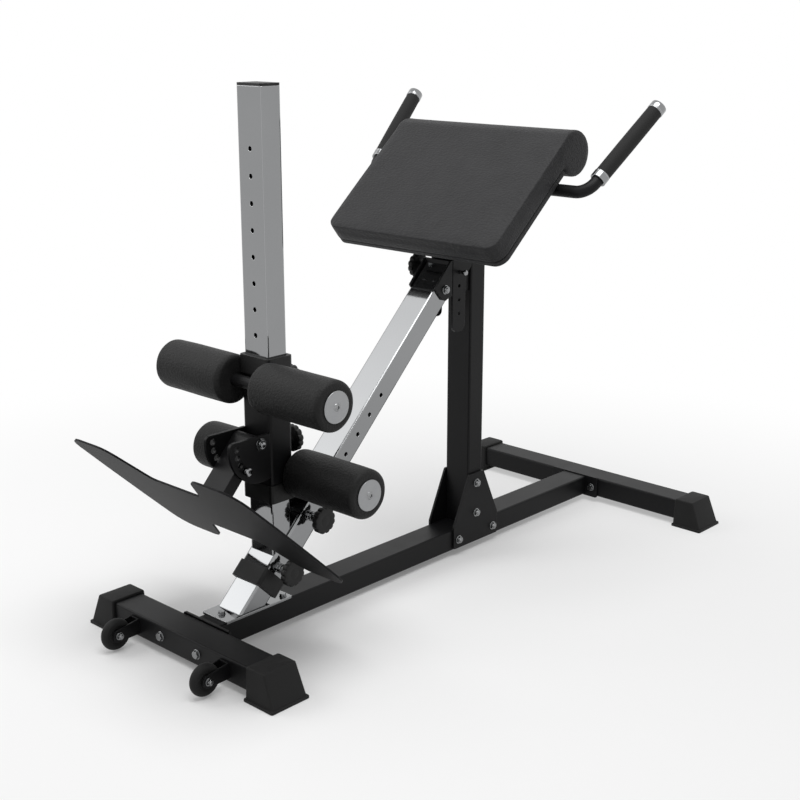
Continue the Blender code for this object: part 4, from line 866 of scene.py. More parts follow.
@dataclass
class StarKnob:
    """Star knob with a plated stem; a clamp turns as one piece, a spring pin slides in a lock nut."""

    node: str
    direction: tuple[float, float, float]
    carrier: str
    spring_pin: bool = False
    tip_radius: float = 0.0065
    boss_end: float = 0.048
    radius: float = 0.0285
    head_depth: float = 0.0174
    lobes: int = 12
    lobe_depth: float = 0.0028
    stem: float = 0.0064
    play: float = 0.0003
    nut_corner: float = 0.0102
    nut_end: float = 0.0058
    collar: float = 0.0086
    pin_length: float = 0.0103
    pitch: float = 0.0015
    thread_depth: float = 0.0005
    smooth_length: float = 0.012

    def build(self) -> None:
        """Head, stem and lock nut in place of a packed knob."""
        low, high = (np.array(corner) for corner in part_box(self.node))
        direction = np.array(self.direction, float)
        centre = (low + high) / 2
        tip, front = sorted(float(corner @ direction) for corner in (low, high))
        origin = centre - direction * (centre @ direction)
        axes = Axes.along(tuple(origin), self.direction, (0.3, 0.2, 1.0))
        back = front - self.head_depth
        name = self.node.replace("_knob", "").replace("_pull", "_spring")
        head = Patch(axes.place(self.head(back)))
        add_piece(f"{name}_star_head", solid_of([head], self.node), MOULDED_PLASTIC, self.node, (self.node,),
                  sharp=40)
        stem = Patch(axes.place(self.stem_grid(tip, back)))
        add_piece(f"{name}_stem", solid_of([stem], "stem"), ZINC_PLATE, self.node)
        bore, face = self.stem + self.play, self.boss_end + self.nut_end
        nut = hexagon_prism(self.nut_corner, self.boss_end + self.play, face, hole=bore)
        collar = lathe([(bore, face), (self.collar, face), (self.collar, self.boss_end + 0.0068),
                        (0.0080, self.boss_end + 0.0074), (bore, self.boss_end + 0.0074)])
        patches = [Patch(axes.place(nut), wrap_rows=True), Patch(axes.place(collar), wrap_rows=True)]
        add_piece(f"{name}_lock_nut", solid_of(patches, "lock_nut"), ZINC_PLATE,
                  self.carrier if self.spring_pin else self.node)

    def head(self, back: float) -> np.ndarray:
        """Scalloped head: at each height the reach is r (1 - depth lobed (1 - |cos(n t / 2)|)^1.4).

        Args:
            back: Height of its back.

        Returns:
            Grid of points.
        """
        # Height over the back, share of the radius, and share of the scallops' depth
        rows = np.array([
            (0.0, 0.34, 0), (0.0004, 0.36, 0), (0.0026, 0.42, 0), (0.0036, 0.56, 0.3), (0.0040, 0.80, 0.9),
            (0.0043, 0.93, 1), (0.0050, 0.98, 1), (0.0060, 1.0, 1), (0.0146, 1.0, 1), (0.0158, 0.99, 1),
            (0.0167, 0.965, 1), (0.0172, 0.93, 1), (0.0174, 0.88, 0.8), (0.0174, 0.70, 0.2),
            (0.0174, 0.45, 0), (0.0173, 0.43, 0), (0.0173, 0.40, 0), (0.0174, 0.38, 0), (0.0174, 0.0, 0)])
        turn = np.linspace(0, 2 * np.pi, self.lobes * 12, endpoint=False)
        dip = self.lobe_depth / self.radius * (1 - np.abs(np.cos(self.lobes * turn / 2))) ** 1.4
        reach = 1 - rows[:, 2:] * dip
        profile = np.stack([rows[:, 1] * self.radius, rows[:, 0] + back], -1)
        profile = np.concatenate([[[0.0, back]], profile])
        return lathe(profile, len(turn), np.concatenate([reach[:1], reach]))

    def stem_grid(self, tip: float, back: float) -> np.ndarray:
        """Plated stem: a smooth pin with a thinner tip, or a screw that is smooth near its head.

        Args:
            tip: Height of its tip.
            back: Height of the head's back, which it runs 1 mm into.

        Returns:
            Grid of points.
        """
        end = back + 0.001
        if self.spring_pin:
            step = tip + self.pin_length
            profile = [(0, tip), (self.tip_radius - 0.0008, tip), (self.tip_radius, tip + 0.0008),
                       (self.tip_radius, step), (self.stem - 0.0004, step), (self.stem, step + 0.0004),
                       (self.stem, end), (0, end)]
            return lathe(profile, 32)
        height = np.linspace(tip + 0.0008, end, 160)
        crest = self.thread_depth * (0.5 + 0.5 * np.cos(height / self.pitch * 2 * np.pi))
        smooth = np.clip((height - (end - self.smooth_length)) / 0.002, 0, 1)
        thick = np.where(height < tip + 0.0020, min(self.tip_radius, self.stem), self.stem)
        profile = np.stack([thick - crest * (1 - smooth), height], -1)
        return lathe(np.concatenate([[[0, tip], [self.tip_radius - 0.001, tip]], profile, [[0, end]]]), 32)


class KnobSet:
    """The five star knobs, the tilt pin and the pad's lock pin."""

    # Radii of the tips, and how far the bosses stand out from the mast's middle and from the part's middle plane
    SPRING_TIP = 0.0049
    PAD_TIP = 0.0040
    MAST_BOSS = 0.038
    PAD_BOSS = 0.0362
    # Knurled head of the tilt pin: points round it, ridges, and their depth as a share of the radius
    KNURL_SIDES = 96
    RIDGES = 24
    RIDGE_DEPTH = 0.045
    # Ball of the lock pin: half its height, and its radius
    BALL_HALF = 0.0050
    BALL_RADIUS = 0.0068

    def build(self) -> None:
        """Make every knob and pin."""
        StarKnob("rail_clamp_knob", (0, -1, 0), "mast_carriage").build()
        StarKnob("rail_pull_pin", (0, -1, 0), "mast_carriage", spring_pin=True, tip_radius=self.SPRING_TIP).build()
        boss = frame_point(MAST_MIDDLE, 0, 0)[0] + self.MAST_BOSS
        StarKnob("mast_clamp_knob", (1, 0, 0), "roller_carriage", boss_end=boss).build()
        StarKnob("mast_pull_pin", (1, 0, 0), "roller_carriage", spring_pin=True, tip_radius=self.SPRING_TIP,
                 boss_end=boss).build()
        StarKnob("pad_clamp_knob", (0, 1, 0), "frame", tip_radius=self.PAD_TIP, boss_end=self.PAD_BOSS).build()
        self.tilt_pin()
        self.lock_pin()

    def tilt_pin(self) -> None:
        """Pin with a knurled head: the head's reach ripples once for each ridge."""
        low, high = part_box("tilt_pin")
        centre, _ = middle_of("tilt_pin")
        axes = Axes.along((centre[0], 0, centre[2]), (0, -1, 0))
        inner, outer = -high.y, -low.y
        # Radius, height, and share of the ridges' depth
        rows = np.array([(0, inner, 0), (0.0041, inner, 0), (0.0049, inner + 0.0008, 0), (0.0049, outer - 0.0066, 0),
                         (0.0070, outer - 0.0066, 0), (0.0082, outer - 0.0060, 0), (0.0083, outer - 0.0056, 1),
                         (0.0083, outer - 0.0022, 1), (0.0082, outer - 0.0017, 0), (0.0068, outer - 0.0006, 0),
                         (0.0040, outer, 0), (0, outer, 0)])
        turn = np.linspace(0, 2 * np.pi, self.KNURL_SIDES, endpoint=False)
        reach = 1 - rows[:, 2:] * self.RIDGE_DEPTH * (0.5 - 0.5 * np.cos(self.RIDGES * turn))
        grid = axes.place(lathe(rows[:, :2], self.KNURL_SIDES, reach))
        add_piece("tilt_pin_knurled", solid_of([Patch(grid)], "tilt_pin"), ZINC_PLATE, "tilt_pin", ("tilt_pin",))

    def lock_pin(self) -> None:
        """Straight pin with a ball for a handle."""
        low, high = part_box("pad_lock_pin")
        centre, _ = middle_of("pad_lock_pin")
        axes = Axes.along((centre[0], 0, centre[2]), (0, -1, 0))
        inner, outer = -high.y, -low.y
        middle = outer - self.BALL_HALF
        ball = round_corner((0, middle), self.BALL_RADIUS, -62, 90, 14)
        ball[:, 1] = middle + (ball[:, 1] - middle) * (self.BALL_HALF / self.BALL_RADIUS)
        profile = np.concatenate([[(0, inner), (0.0034, inner), (0.0040, inner + 0.0006), (0.0040, outer - 0.0094),
                                   (0.0032, outer - 0.0092)], ball, [(0, outer)]])
        add_piece("pad_lock_ball_pin", solid_of([Patch(axes.place(lathe(profile, 40)))], "pad_lock_pin"),
                  ZINC_PLATE, "pad_lock_pin", ("pad_lock_pin",))


# Rollers


@dataclass
class FoamRoller:
    """Foam roller on its bar: a barrel with soft ends that dip towards the bar."""

    edge: float = 0.0105
    bore: float = 0.0131
    dip: float = 0.0010
    swell: float = 0.0005
    sides: int = 128
    inset: float = 0.0006

    def build(self, node: str) -> None:
        """Roller in place of a packed one.

        Args:
            node: Packed roller.
        """
        centre, half = middle_of(node)
        axes = Axes.along(tuple(centre), (0, 1, 0))
        patch = Patch(axes.place(self.grid(half[0], half[1])), wrap_rows=True)
        piece = add_piece(node.replace("roller", "foam_roller"), solid_of([patch], node), FOAM_SKIN, node, (node,),
                          sharp=60)

    def grid(self, radius: float, half: float) -> np.ndarray:
        """Roller surface.

        The profile is a barrel r - swell (y / half)^2 with quarter rounds at its ends and end faces that
        dip to the bore. Two slow ripples round and along it keep it from being a perfect turning, and the
        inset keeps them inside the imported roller.

        Args:
            radius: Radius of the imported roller.
            half: Half its length.

        Returns:
            Grid of points.
        """
        radius -= self.inset
        barrel = np.linspace(half - self.edge, self.edge - half, 44)
        upper = round_corner((radius - self.swell - self.edge, half - self.edge), self.edge, 90, 2, 12)
        side = np.stack([radius - self.swell * (barrel / half) ** 2, barrel], -1)
        faces = np.linspace(self.bore, radius - self.swell - self.edge, 7)[:-1]
        hollow = half - self.dip * (1 - (faces - self.bore) / (radius - self.edge - self.bore)) ** 1.5
        face = np.stack([faces, hollow], -1)
        profile = np.concatenate([face, upper, side[1:-1], upper[::-1] * [1, -1], face[::-1] * [1, -1]])
        grid = lathe(profile, self.sides)
        turn = np.linspace(0, 2 * np.pi, self.sides, endpoint=False)
        along = profile[:, 1:] / half
        ripple = 0.00022 * np.sin(3 * turn + 2.1 * along) + 0.00016 * np.sin(7 * turn - 5.3 * along + 1.0)
        fade = np.clip((profile[:, :1] - self.bore) / 0.02, 0, 1)
        grid[..., :2] *= (1 + ripple * fade / radius)[..., None]
        return grid


@dataclass
class RollerBar:
    """Bar through two rollers, with a satin disc and a button screw at each end."""

    radius: float = 0.0127
    disc: float = 0.0317
    disc_thickness: float = 0.002
    screw_height: float = 0.004

    def build(self, node: str) -> None:
        """Bar, discs and screws in place of a packed axle.

        Args:
            node: Packed axle.
        """
        low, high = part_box(node)
        centre, _ = middle_of(node)
        body, origin = "roller_carriage", (centre[0], 0, centre[2])
        reach = high.y - self.screw_height - self.disc_thickness
        axes = Axes.along(origin, (0, 1, 0))
        bar = lathe([(0, -reach), (self.radius, -reach), (self.radius, reach), (0, reach)], 40)
        add_piece(f"{node}_bar", solid_of([Patch(axes.place(bar))], node), POWDER_COAT, body, (node,))
        for side, sign in SIDES:
            axes = Axes.along(origin, (0, sign, 0))
            cap, face = self.disc, reach + self.disc_thickness
            disc = [(0, reach), (cap - 0.0002, reach), (cap, reach + 0.0003), (cap, face - 0.0006),
                    (cap - 0.0006, face), (cap - 0.0022, face), (cap - 0.0026, face - 0.0003),
                    (0.0105, face - 0.0003), (0.0101, face), (0, face)]
            add_piece(f"{node}_disc_{side}", solid_of([Patch(axes.place(lathe(disc, 72)))], "disc"),
                      SATIN_DISC, body)
            dome = np.concatenate([[(0, face)], round_corner((0, face - 0.0060), 0.0100, 37, 62, 8),
                                   [(0.0036, face + 0.0030), (0.0034, face + 0.0012), (0, face + 0.0012)]])
            add_piece(f"{node}_screw_{side}", solid_of([Patch(axes.place(lathe(dome, 48)))], "screw"),
                      ZINC_PLATE, body)


# Pad and handles

# Slope of the pad, and axes that run along it, across it and off it
PAD_SLOPE = math.radians(41)
PAD_AXES = Axes(frame_point(0, 0, 0), (math.cos(PAD_SLOPE), 0.0, math.sin(PAD_SLOPE)), (0.0, 1.0, 0.0),
                (-math.sin(PAD_SLOPE), 0.0, math.cos(PAD_SLOPE)))


@dataclass
class Cushion:
    """Thigh cushion: a slab that runs into a roll at its upper end.

    It is made in the pad's own axes, where its flat sides lie along the voxels, and laid on the slope
    at the end.
    """

    start: float = 0.9745
    top: float = 0.1795
    bottom: float = 0.1343
    neck: float = 1.2505
    roll: tuple[float, float] = (1.2998, 0.1298)
    roll_radius: float = 0.0503
    half_width: float = 0.2477
    edge: float = 0.0040
    plan_corner: float = 0.028
    crown: float = 0.0012
    voxel: float = 0.0038
    cap: float = 0.0016
    pressure: float = 3.0
    lift_height: float = 0.012
    corner_fade: float = 2.2
    rest_height: float = 0.004
    rest_past: float = 0.002

    def profile(self) -> np.ndarray:
        """Closed outline of along and off: front, crowned top, round the roll, and back underneath.

        Returns:
            Points of the outline.
        """
        front = np.stack([np.full(8, self.start), np.linspace(self.bottom, self.top - self.edge, 8)], -1)
        corner = round_corner((self.start + self.edge, self.top - self.edge), self.edge, 180, 90, 6)[1:]
        along = np.linspace(self.start + self.edge, self.roll[0], 40)[1:-1]
        share = (along - along[0]) / (along[-1] - along[0])
        flat = self.top + (self.roll[1] + self.roll_radius - self.top) * share
        top = np.stack([along, flat + self.crown * np.sin(np.pi * share)], -1)
        roll = round_corner(self.roll, self.roll_radius, 90, -172, 46)
        under = np.stack([np.linspace(self.neck, self.start, 34), np.full(34, self.bottom)], -1)[:-1]
        return np.concatenate([front, corner, top, roll, under])

    def shape(self) -> bpy.types.Mesh:
        """Closed mesh of the cushion before it is puffed, in the pad's axes.

        Each row across the pad is the profile, drawn in by edge (1 - cos f) near the sides, where
        y = W - edge + edge sin f; the flat underside isn't drawn in. The front corners are rounded in
        plan: near the sides the front moves back by R - sqrt(R^2 - d^2), d being how far y is past the
        corner's centre and kept just under R.

        Returns:
            The mesh.
        """
        profile = self.profile()
        ahead = np.roll(profile, -1, 0) - np.roll(profile, 1, 0)
        outwards = np.stack([-ahead[:, 1], ahead[:, 0]], -1) / np.linalg.norm(ahead, axis=1, keepdims=True)
        lift = np.clip((profile[:, 1] - self.bottom) / self.lift_height, 0, 1)
        lift = np.where(profile[:, 0] > self.neck - 0.001, 1.0, lift)
        turn = np.radians(np.linspace(0, 90, 9))
        inner = np.linspace(0, self.half_width - self.edge, 40)
        half = np.concatenate([np.stack([inner, 0 * inner], -1)[:-1],
                               np.stack([self.half_width - self.edge + self.edge * np.sin(turn),
                                         self.edge * (1 - np.cos(turn))], -1)])
        rows = np.concatenate([half[:0:-1] * [-1, 1], half])
        y, inset = rows[:, 0][:, None], rows[:, 1][:, None]
        along = profile[:, 0] - outwards[:, 0] * inset * lift
        off = profile[:, 1] - outwards[:, 1] * inset * lift
        past = np.clip(np.abs(y) - (self.half_width - self.plan_corner), 0, self.plan_corner * 0.999)
        back = self.plan_corner - np.sqrt(self.plan_corner ** 2 - past ** 2)
        along = along + back * np.clip(1 - (along - self.start) / (self.corner_fade * self.plan_corner), 0, 1)
        grid = np.stack([along, y + 0 * along, off], -1)
        count, wide = grid.shape[:2]
        mesh = bpy.data.meshes.new("cushion")
        quads = Patch(grid, wrap_columns=True).faces(0).tolist()
        ends = [list(range(wide)), [(count - 1) * wide + i for i in range(wide)]]
        mesh.from_pydata(grid.reshape(-1, 3).tolist(), [], quads + ends)
        bm = bmesh.new()
        bm.from_mesh(mesh)
        bmesh.ops.recalc_face_normals(bm, faces=bm.faces)
        bm.to_mesh(mesh)
        bm.free()
        return mesh

    def build(self) -> None:
        """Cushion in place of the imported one: remeshed evenly, puffed by cloth pressure, then smoothed."""
        piece = add_piece("thigh_cushion", self.shape(), VINYL, "pad_carrier", ("pad_cushion",), sharp=180)
        even = piece.modifiers.new("even", "REMESH")
        even.mode, even.voxel_size, even.use_smooth_shade = "VOXEL", self.voxel, True
        freeze(piece)
        puff(piece, self.pressure, self.cap, self.resting(points_of(piece.data)))
        relax = piece.modifiers.new("relax", "SMOOTH")
        relax.factor, relax.iterations = 0.5, 1
        finer = piece.modifiers.new("finer", "SUBSURF")
        finer.levels = finer.render_levels = 1
        freeze(piece)
        points = PAD_AXES.place(points_of(piece.data))
        piece.data.vertices.foreach_set("co", points.astype(np.float32).ravel())
        piece.data.update()
        piece.data.materials.clear()
        piece.data.materials.append(VINYL.material())
        piece.data.shade_smooth()

    def resting(self, points: np.ndarray) -> np.ndarray:
        """Which points lie on the board, and so stay where they are."""
        return (points[:, 2] < self.bottom + self.rest_height) & (points[:, 0] < self.neck + self.rest_past)


def points_of(mesh: bpy.types.Mesh) -> np.ndarray:
    """Vertices of a mesh as an array.

    Args:
        mesh: The mesh.

    Returns:
        One row of X, Y and Z for each vertex.
    """
    points = np.zeros(len(mesh.vertices) * 3, np.float32)
    mesh.vertices.foreach_get("co", points)
    return points.reshape(-1, 3).astype(float)


# Frames that the cloth swells for
CLOTH_FRAMES = 20


def puff(piece: bpy.types.Object, pressure: float, cap: float, resting: np.ndarray) -> None:
    """Swell a closed piece by cloth pressure, with a limit on how far a point may move.

    Args:
        piece: Piece whose mesh is changed.
        pressure: Cloth's pressure inside it.
        cap: Furthest that a point may move, in metres.
        resting: Mask of the points that stay where they are.
    """
    before = points_of(piece.data)
    group = piece.vertex_groups.new(name="resting")
    group.add(np.nonzero(resting)[0].tolist(), 1.0, "REPLACE")
    cloth = piece.modifiers.new("swell", "CLOTH")
    cloth.settings.use_pressure = True
    cloth.settings.uniform_pressure_force = pressure
    cloth.settings.vertex_group_mass = "resting"
    cloth.settings.effector_weights.gravity = 0.0
    cloth.settings.quality = 5
    cloth.settings.tension_stiffness = 15.0
    cloth.settings.compression_stiffness = 15.0
    cloth.settings.bending_stiffness = 0.5
    cloth.collision_settings.use_collision = False
    cloth.collision_settings.use_self_collision = False
    scene = bpy.context.scene
    for number in range(1, CLOTH_FRAMES + 1):
        scene.frame_set(number)
    freeze(piece)
    scene.frame_set(1)
    after = points_of(piece.data)
    moved = after - before
    length = np.linalg.norm(moved, axis=1, keepdims=True)
    after = before + moved * np.minimum(1.0, cap / np.maximum(length, 1e-9))
    piece.data.vertices.foreach_set("co", after.astype(np.float32).ravel())
    piece.data.update()
    piece.vertex_groups.clear()
    log.info("swelled %s by %.1f mm on average", piece.name, 1000 * float(np.minimum(length, cap).mean()))


@dataclass
class BackingBoard:
    """Board wrapped in the cushion's vinyl, with a stapled dust cover and four plate bolts underneath."""

    start: float = 0.9755
    end: float = 1.2478
    end_corner: float = 0.004
    half_width: float = 0.2470
    top: float = 0.1339
    bottom: float = 0.1211
    corner: float = 0.028
    round_edge: float = 0.0028
    cover_margin: float = 0.015
    cover_thickness: float = 0.0008
    staple_length: float = 0.010
    staple_pitch: float = 0.028
    plate_face: float = 0.1147
    plate_along: tuple[float, float] = (1.038, 1.170)
    plate_y: float = 0.074
    plate_bolt: float = 0.004
    plate_bolt_head: float = 0.0042
    cover_sunk: float = 0.0002
    cover_edge: float = 0.0003
    staple_inset: float = 0.007
    staple_corner: float = 0.016
    staple_wire: float = 0.0006
    staple_aim: float = 0.002

    def slab(self, low: float, high: float, margin: float, edge: float) -> np.ndarray:
        """Rounded plate: its loop is drawn in by edge (1 - cos t) over a half turn from its foot to its top.

        Args:
            low: Its underside, off the slope.
            high: Its top, off the slope.
            margin: How far its outline lies inside the board's.
            edge: Radius of its edges.

        Returns:
            Grid of points in the pad's axes.
        """
        middle, half = (self.start + self.end) / 2, (self.end - self.start) / 2 - margin
        turn = np.radians(np.concatenate([np.linspace(-90, 0, 5), np.linspace(0, 90, 5)]))
        centre = np.concatenate([np.full(5, low + edge), np.full(5, high - edge)])
        rows = []
        for t, height in zip(turn, centre):
            inset = edge * (1 - math.cos(t))
            loop = rounded_loop(half - inset, self.half_width - margin - inset, self.corner - margin * 0.5 - inset,
                                10, self.end_corner - inset)
            rows.append(np.stack([loop[:, 0] + middle, loop[:, 1],
                                  np.full(len(loop), height + edge * math.sin(t))], -1))
        return capped(np.array(rows))

    def staples(self) -> list[Patch]:
        """Staple crowns round the cover: capsules along its edge, sunk half their thickness into it.

        Returns:
            One patch for each staple, in the row frame.
        """
        middle, half = (self.start + self.end) / 2, (self.end - self.start) / 2
        inset = self.cover_margin + self.staple_inset
        loop = rounded_loop(half - inset, self.half_width - inset, self.staple_corner, 4)
        loop = np.concatenate([loop, loop[:1]])
        reach = np.concatenate([[0], np.cumsum(np.linalg.norm(np.diff(loop, axis=0), axis=1))])
        stops = np.arange(self.staple_pitch / 2, reach[-1], self.staple_pitch)
        x, y = (np.interp(stops, reach, loop[:, i]) for i in (0, 1))
        aims = [np.interp(stops + self.staple_aim, reach, loop[:, i]) for i in (0, 1)]
        ahead = np.stack(aims, -1) - np.stack([x, y], -1)
        ahead /= np.linalg.norm(ahead, axis=1, keepdims=True)
        wire, long = self.staple_wire, self.staple_length / 2
        capsule = lathe([(0, -long), (wire * 0.8, -long + 0.0002), (wire, -long + 0.0006), (wire, long - 0.0006),
                         (wire * 0.8, long - 0.0002), (0, long)], 8)
        off = self.bottom - self.cover_thickness
        patches = []
        for place_x, place_y, (ahead_x, ahead_y) in zip(x, y, ahead):
            axes = Axes((middle + place_x, place_y, off), (0.0, 0.0, 1.0), (-ahead_y, ahead_x, 0.0),
                        (ahead_x, ahead_y, 0.0))
            patches.append(Patch(PAD_AXES.place(axes.place(capsule))))
        return patches

    def build(self) -> None:
        """Board, dust cover, staples and bolts."""
        board = Patch(PAD_AXES.place(self.slab(self.bottom, self.top, 0.0, self.round_edge)))
        add_piece("wrapped_board", solid_of([board], "wrapped_board"), VINYL, "pad_carrier", ("backing_board",),
                  sharp=60)
        cover = self.slab(self.bottom - self.cover_thickness, self.bottom + self.cover_sunk, self.cover_margin,
                          self.cover_edge)
        add_piece("dust_cover", solid_of([Patch(PAD_AXES.place(cover))], "dust_cover"), DUST_COVER, "pad_carrier")
        add_piece("cover_staples", solid_of(self.staples(), "staples"), ZINC_PLATE, "pad_carrier")
        down = tuple(-np.array(PAD_AXES.z))
        for number, (along, sign) in enumerate((a, s) for a in self.plate_along for s in (-1, 1)):
            bolt = Bolt(-self.bottom, -self.plate_face, self.plate_bolt, shank=False, nut=False,
                        head=self.plate_bolt_head)
            axes = Axes.along(tuple(PAD_AXES.place([along, sign * self.plate_y, 0.0])), down, (0, 1, 0))
            patches = [Patch(axes.place(patch.points)) for patch in bolt.patches()]
            add_piece(f"plate_bolt_{number + 1}", solid_of(patches, "plate_bolt"), ZINC_PLATE, "pad_carrier")


@dataclass
class Handles:
    """Bent tube across the underside of the board, with a grip and two rings on each end."""

    off: float = 0.1067
    along: float = 1.2125
    bend: float = 0.036
    half_span: float = 0.3155
    flare: float = 0.0405
    reach: float = 0.2625
    tube: float = 0.0135
    setback: float = 0.0015
    grip: float = 0.0176
    ring: float = 0.0183
    ring_length: float = 0.018
    ring_edge: float = 0.0009
    tip_back: float = 0.002
    play: float = 0.0002
    grip_edge: float = 0.0003
    grip_swell: float = 0.00035

    def __post_init__(self) -> None:
        """Work out the slant of the grips."""
        self.slant = math.atan2(self.flare, self.reach)

    def route(self) -> np.ndarray:
        """Centre line in the pad's axes: straight across, an arc at each bend, straight to the tips.

        Returns:
            Points of the line.
        """
        turn = math.pi / 2 - self.slant
        centre = (self.along + self.bend, self.half_span - self.bend * math.tan(turn / 2))
        arc = round_corner(centre, self.bend, 180, 180 - math.degrees(turn), 16)
        tip = np.array([self.along + self.reach - self.tip_back,
                        self.half_span + self.flare * (1 - self.tip_back / self.reach)])
        run = arc[-1] + (tip - arc[-1]) * np.linspace(0, 1, 8)[1:, None]
        half = np.concatenate([arc, run])
        across = np.stack([np.full(6, self.along), np.linspace(-arc[0, 1], arc[0, 1], 8)[1:-1]], -1)
        path = np.concatenate([half[::-1] * [1, -1], across, half])
        return np.concatenate([path, np.full((len(path), 1), self.off)], -1)

    def build(self) -> None:
        """Tube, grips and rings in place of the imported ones."""
        tube = PAD_AXES.place(capped(sweep(self.route(), self.tube, 36)))
        add_piece("handle_bar", solid_of([Patch(tube)], "handle_bar"), POWDER_COAT, "pad_carrier", ("handle_tube",))
        for side, sign in SIDES:
            self.grip_on(side, sign)

    def grip_on(self, side: str, sign: int) -> None:
        """Rubber grip, a ring at its lower end and a cap ring at its tip.

        Args:
            side: Side of the part.
            sign: Sign of Y on that side.
        """
        start = self.along + self.bend + self.setback
        length = (self.along + self.reach - start) / math.cos(self.slant)
        base_y = self.half_span + self.flare - math.sin(self.slant) * length
        origin = PAD_AXES.place([start, sign * base_y, self.off])
        tip = PAD_AXES.place([self.along + self.reach, sign * (self.half_span + self.flare), self.off])
        axes = Axes.along(tuple(origin), tuple(tip - origin), PAD_AXES.z)
        bore, edge, ring = self.tube + self.play, self.ring_edge, self.ring
        low, high = self.ring_length, length - self.ring_length
        height = np.linspace(low + self.grip_edge, high - self.grip_edge, 90)
        swell = self.grip_swell * np.sin(np.pi * (height - low) / (high - low))
        outer = np.stack([self.grip + swell - self.grip_edge, height], -1)
        sleeve = np.concatenate([[(bore, low + self.grip_edge)], outer, [(bore, high - self.grip_edge)]])
        patch = Patch(axes.place(lathe(sleeve, 56)), wrap_rows=True)
        grip = add_piece(f"rubber_grip_{side}", solid_of([patch], "grip"), GRIP_RUBBER, "pad_carrier",
                         (f"grip_{side}",))
        # Rings: radius and height of each row, with a groove 2.6 to 4 mm from the end that faces the grip
        lower = [(bore, 0), (ring - edge, 0), (ring, edge), (ring, low - 0.004), (ring - 0.0004, low - 0.0036),
                 (ring - 0.0004, low - 0.0030), (ring, low - 0.0026), (ring, low - edge), (ring - edge, low),
                 (bore, low)]
        add_piece(f"grip_ring_{side}", solid_of([Patch(axes.place(lathe(lower, 56)), wrap_rows=True)], "ring"),
                  BRIGHT_CHROME, "pad_carrier")
        upper = [(bore, high), (ring - edge, high), (ring, high + edge), (ring, high + 0.0026),
                 (ring - 0.0004, high + 0.0030), (ring - 0.0004, high + 0.0036), (ring, high + 0.004),
                 (ring, length - edge * 1.5), (ring - edge * 0.5, length - edge * 0.5), (ring - edge * 1.6, length),
                 (0.0152, length), (0.0148, length - 0.0006), (0, length - 0.0006), (0, length - 0.0018),
                 (bore, length - 0.0018)]
        add_piece(f"grip_cap_{side}", solid_of([Patch(axes.place(lathe(upper, 56)), wrap_rows=True)], "cap"),
                  BRIGHT_CHROME, "pad_carrier")


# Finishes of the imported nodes, stage and camera


class PackedFinishes:
    """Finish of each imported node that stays."""

    CHROME = ("slide_rail", "rail_foot_plate", "rail_sleeve", "mast")
    PLASTIC = ("rail_collar_lower", "rail_collar_upper", "mast_collar_lower", "mast_collar_upper", "mast_cap")

    def build(self) -> None:
        """Dress every node that is still shown."""
        for name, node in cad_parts.items():
            if name in self.CHROME:
                finish = BRIGHT_CHROME
            elif name in self.PLASTIC:
                finish = MOULDED_PLASTIC
            elif name == "footplate":
                finish = MATT_POWDER_COAT
            else:
                finish = POWDER_COAT
            node.data.materials.clear()
            node.data.materials.append(finish.material())
            if not node.hide_render:
                log.info("node %s: %s", name, finish.name)


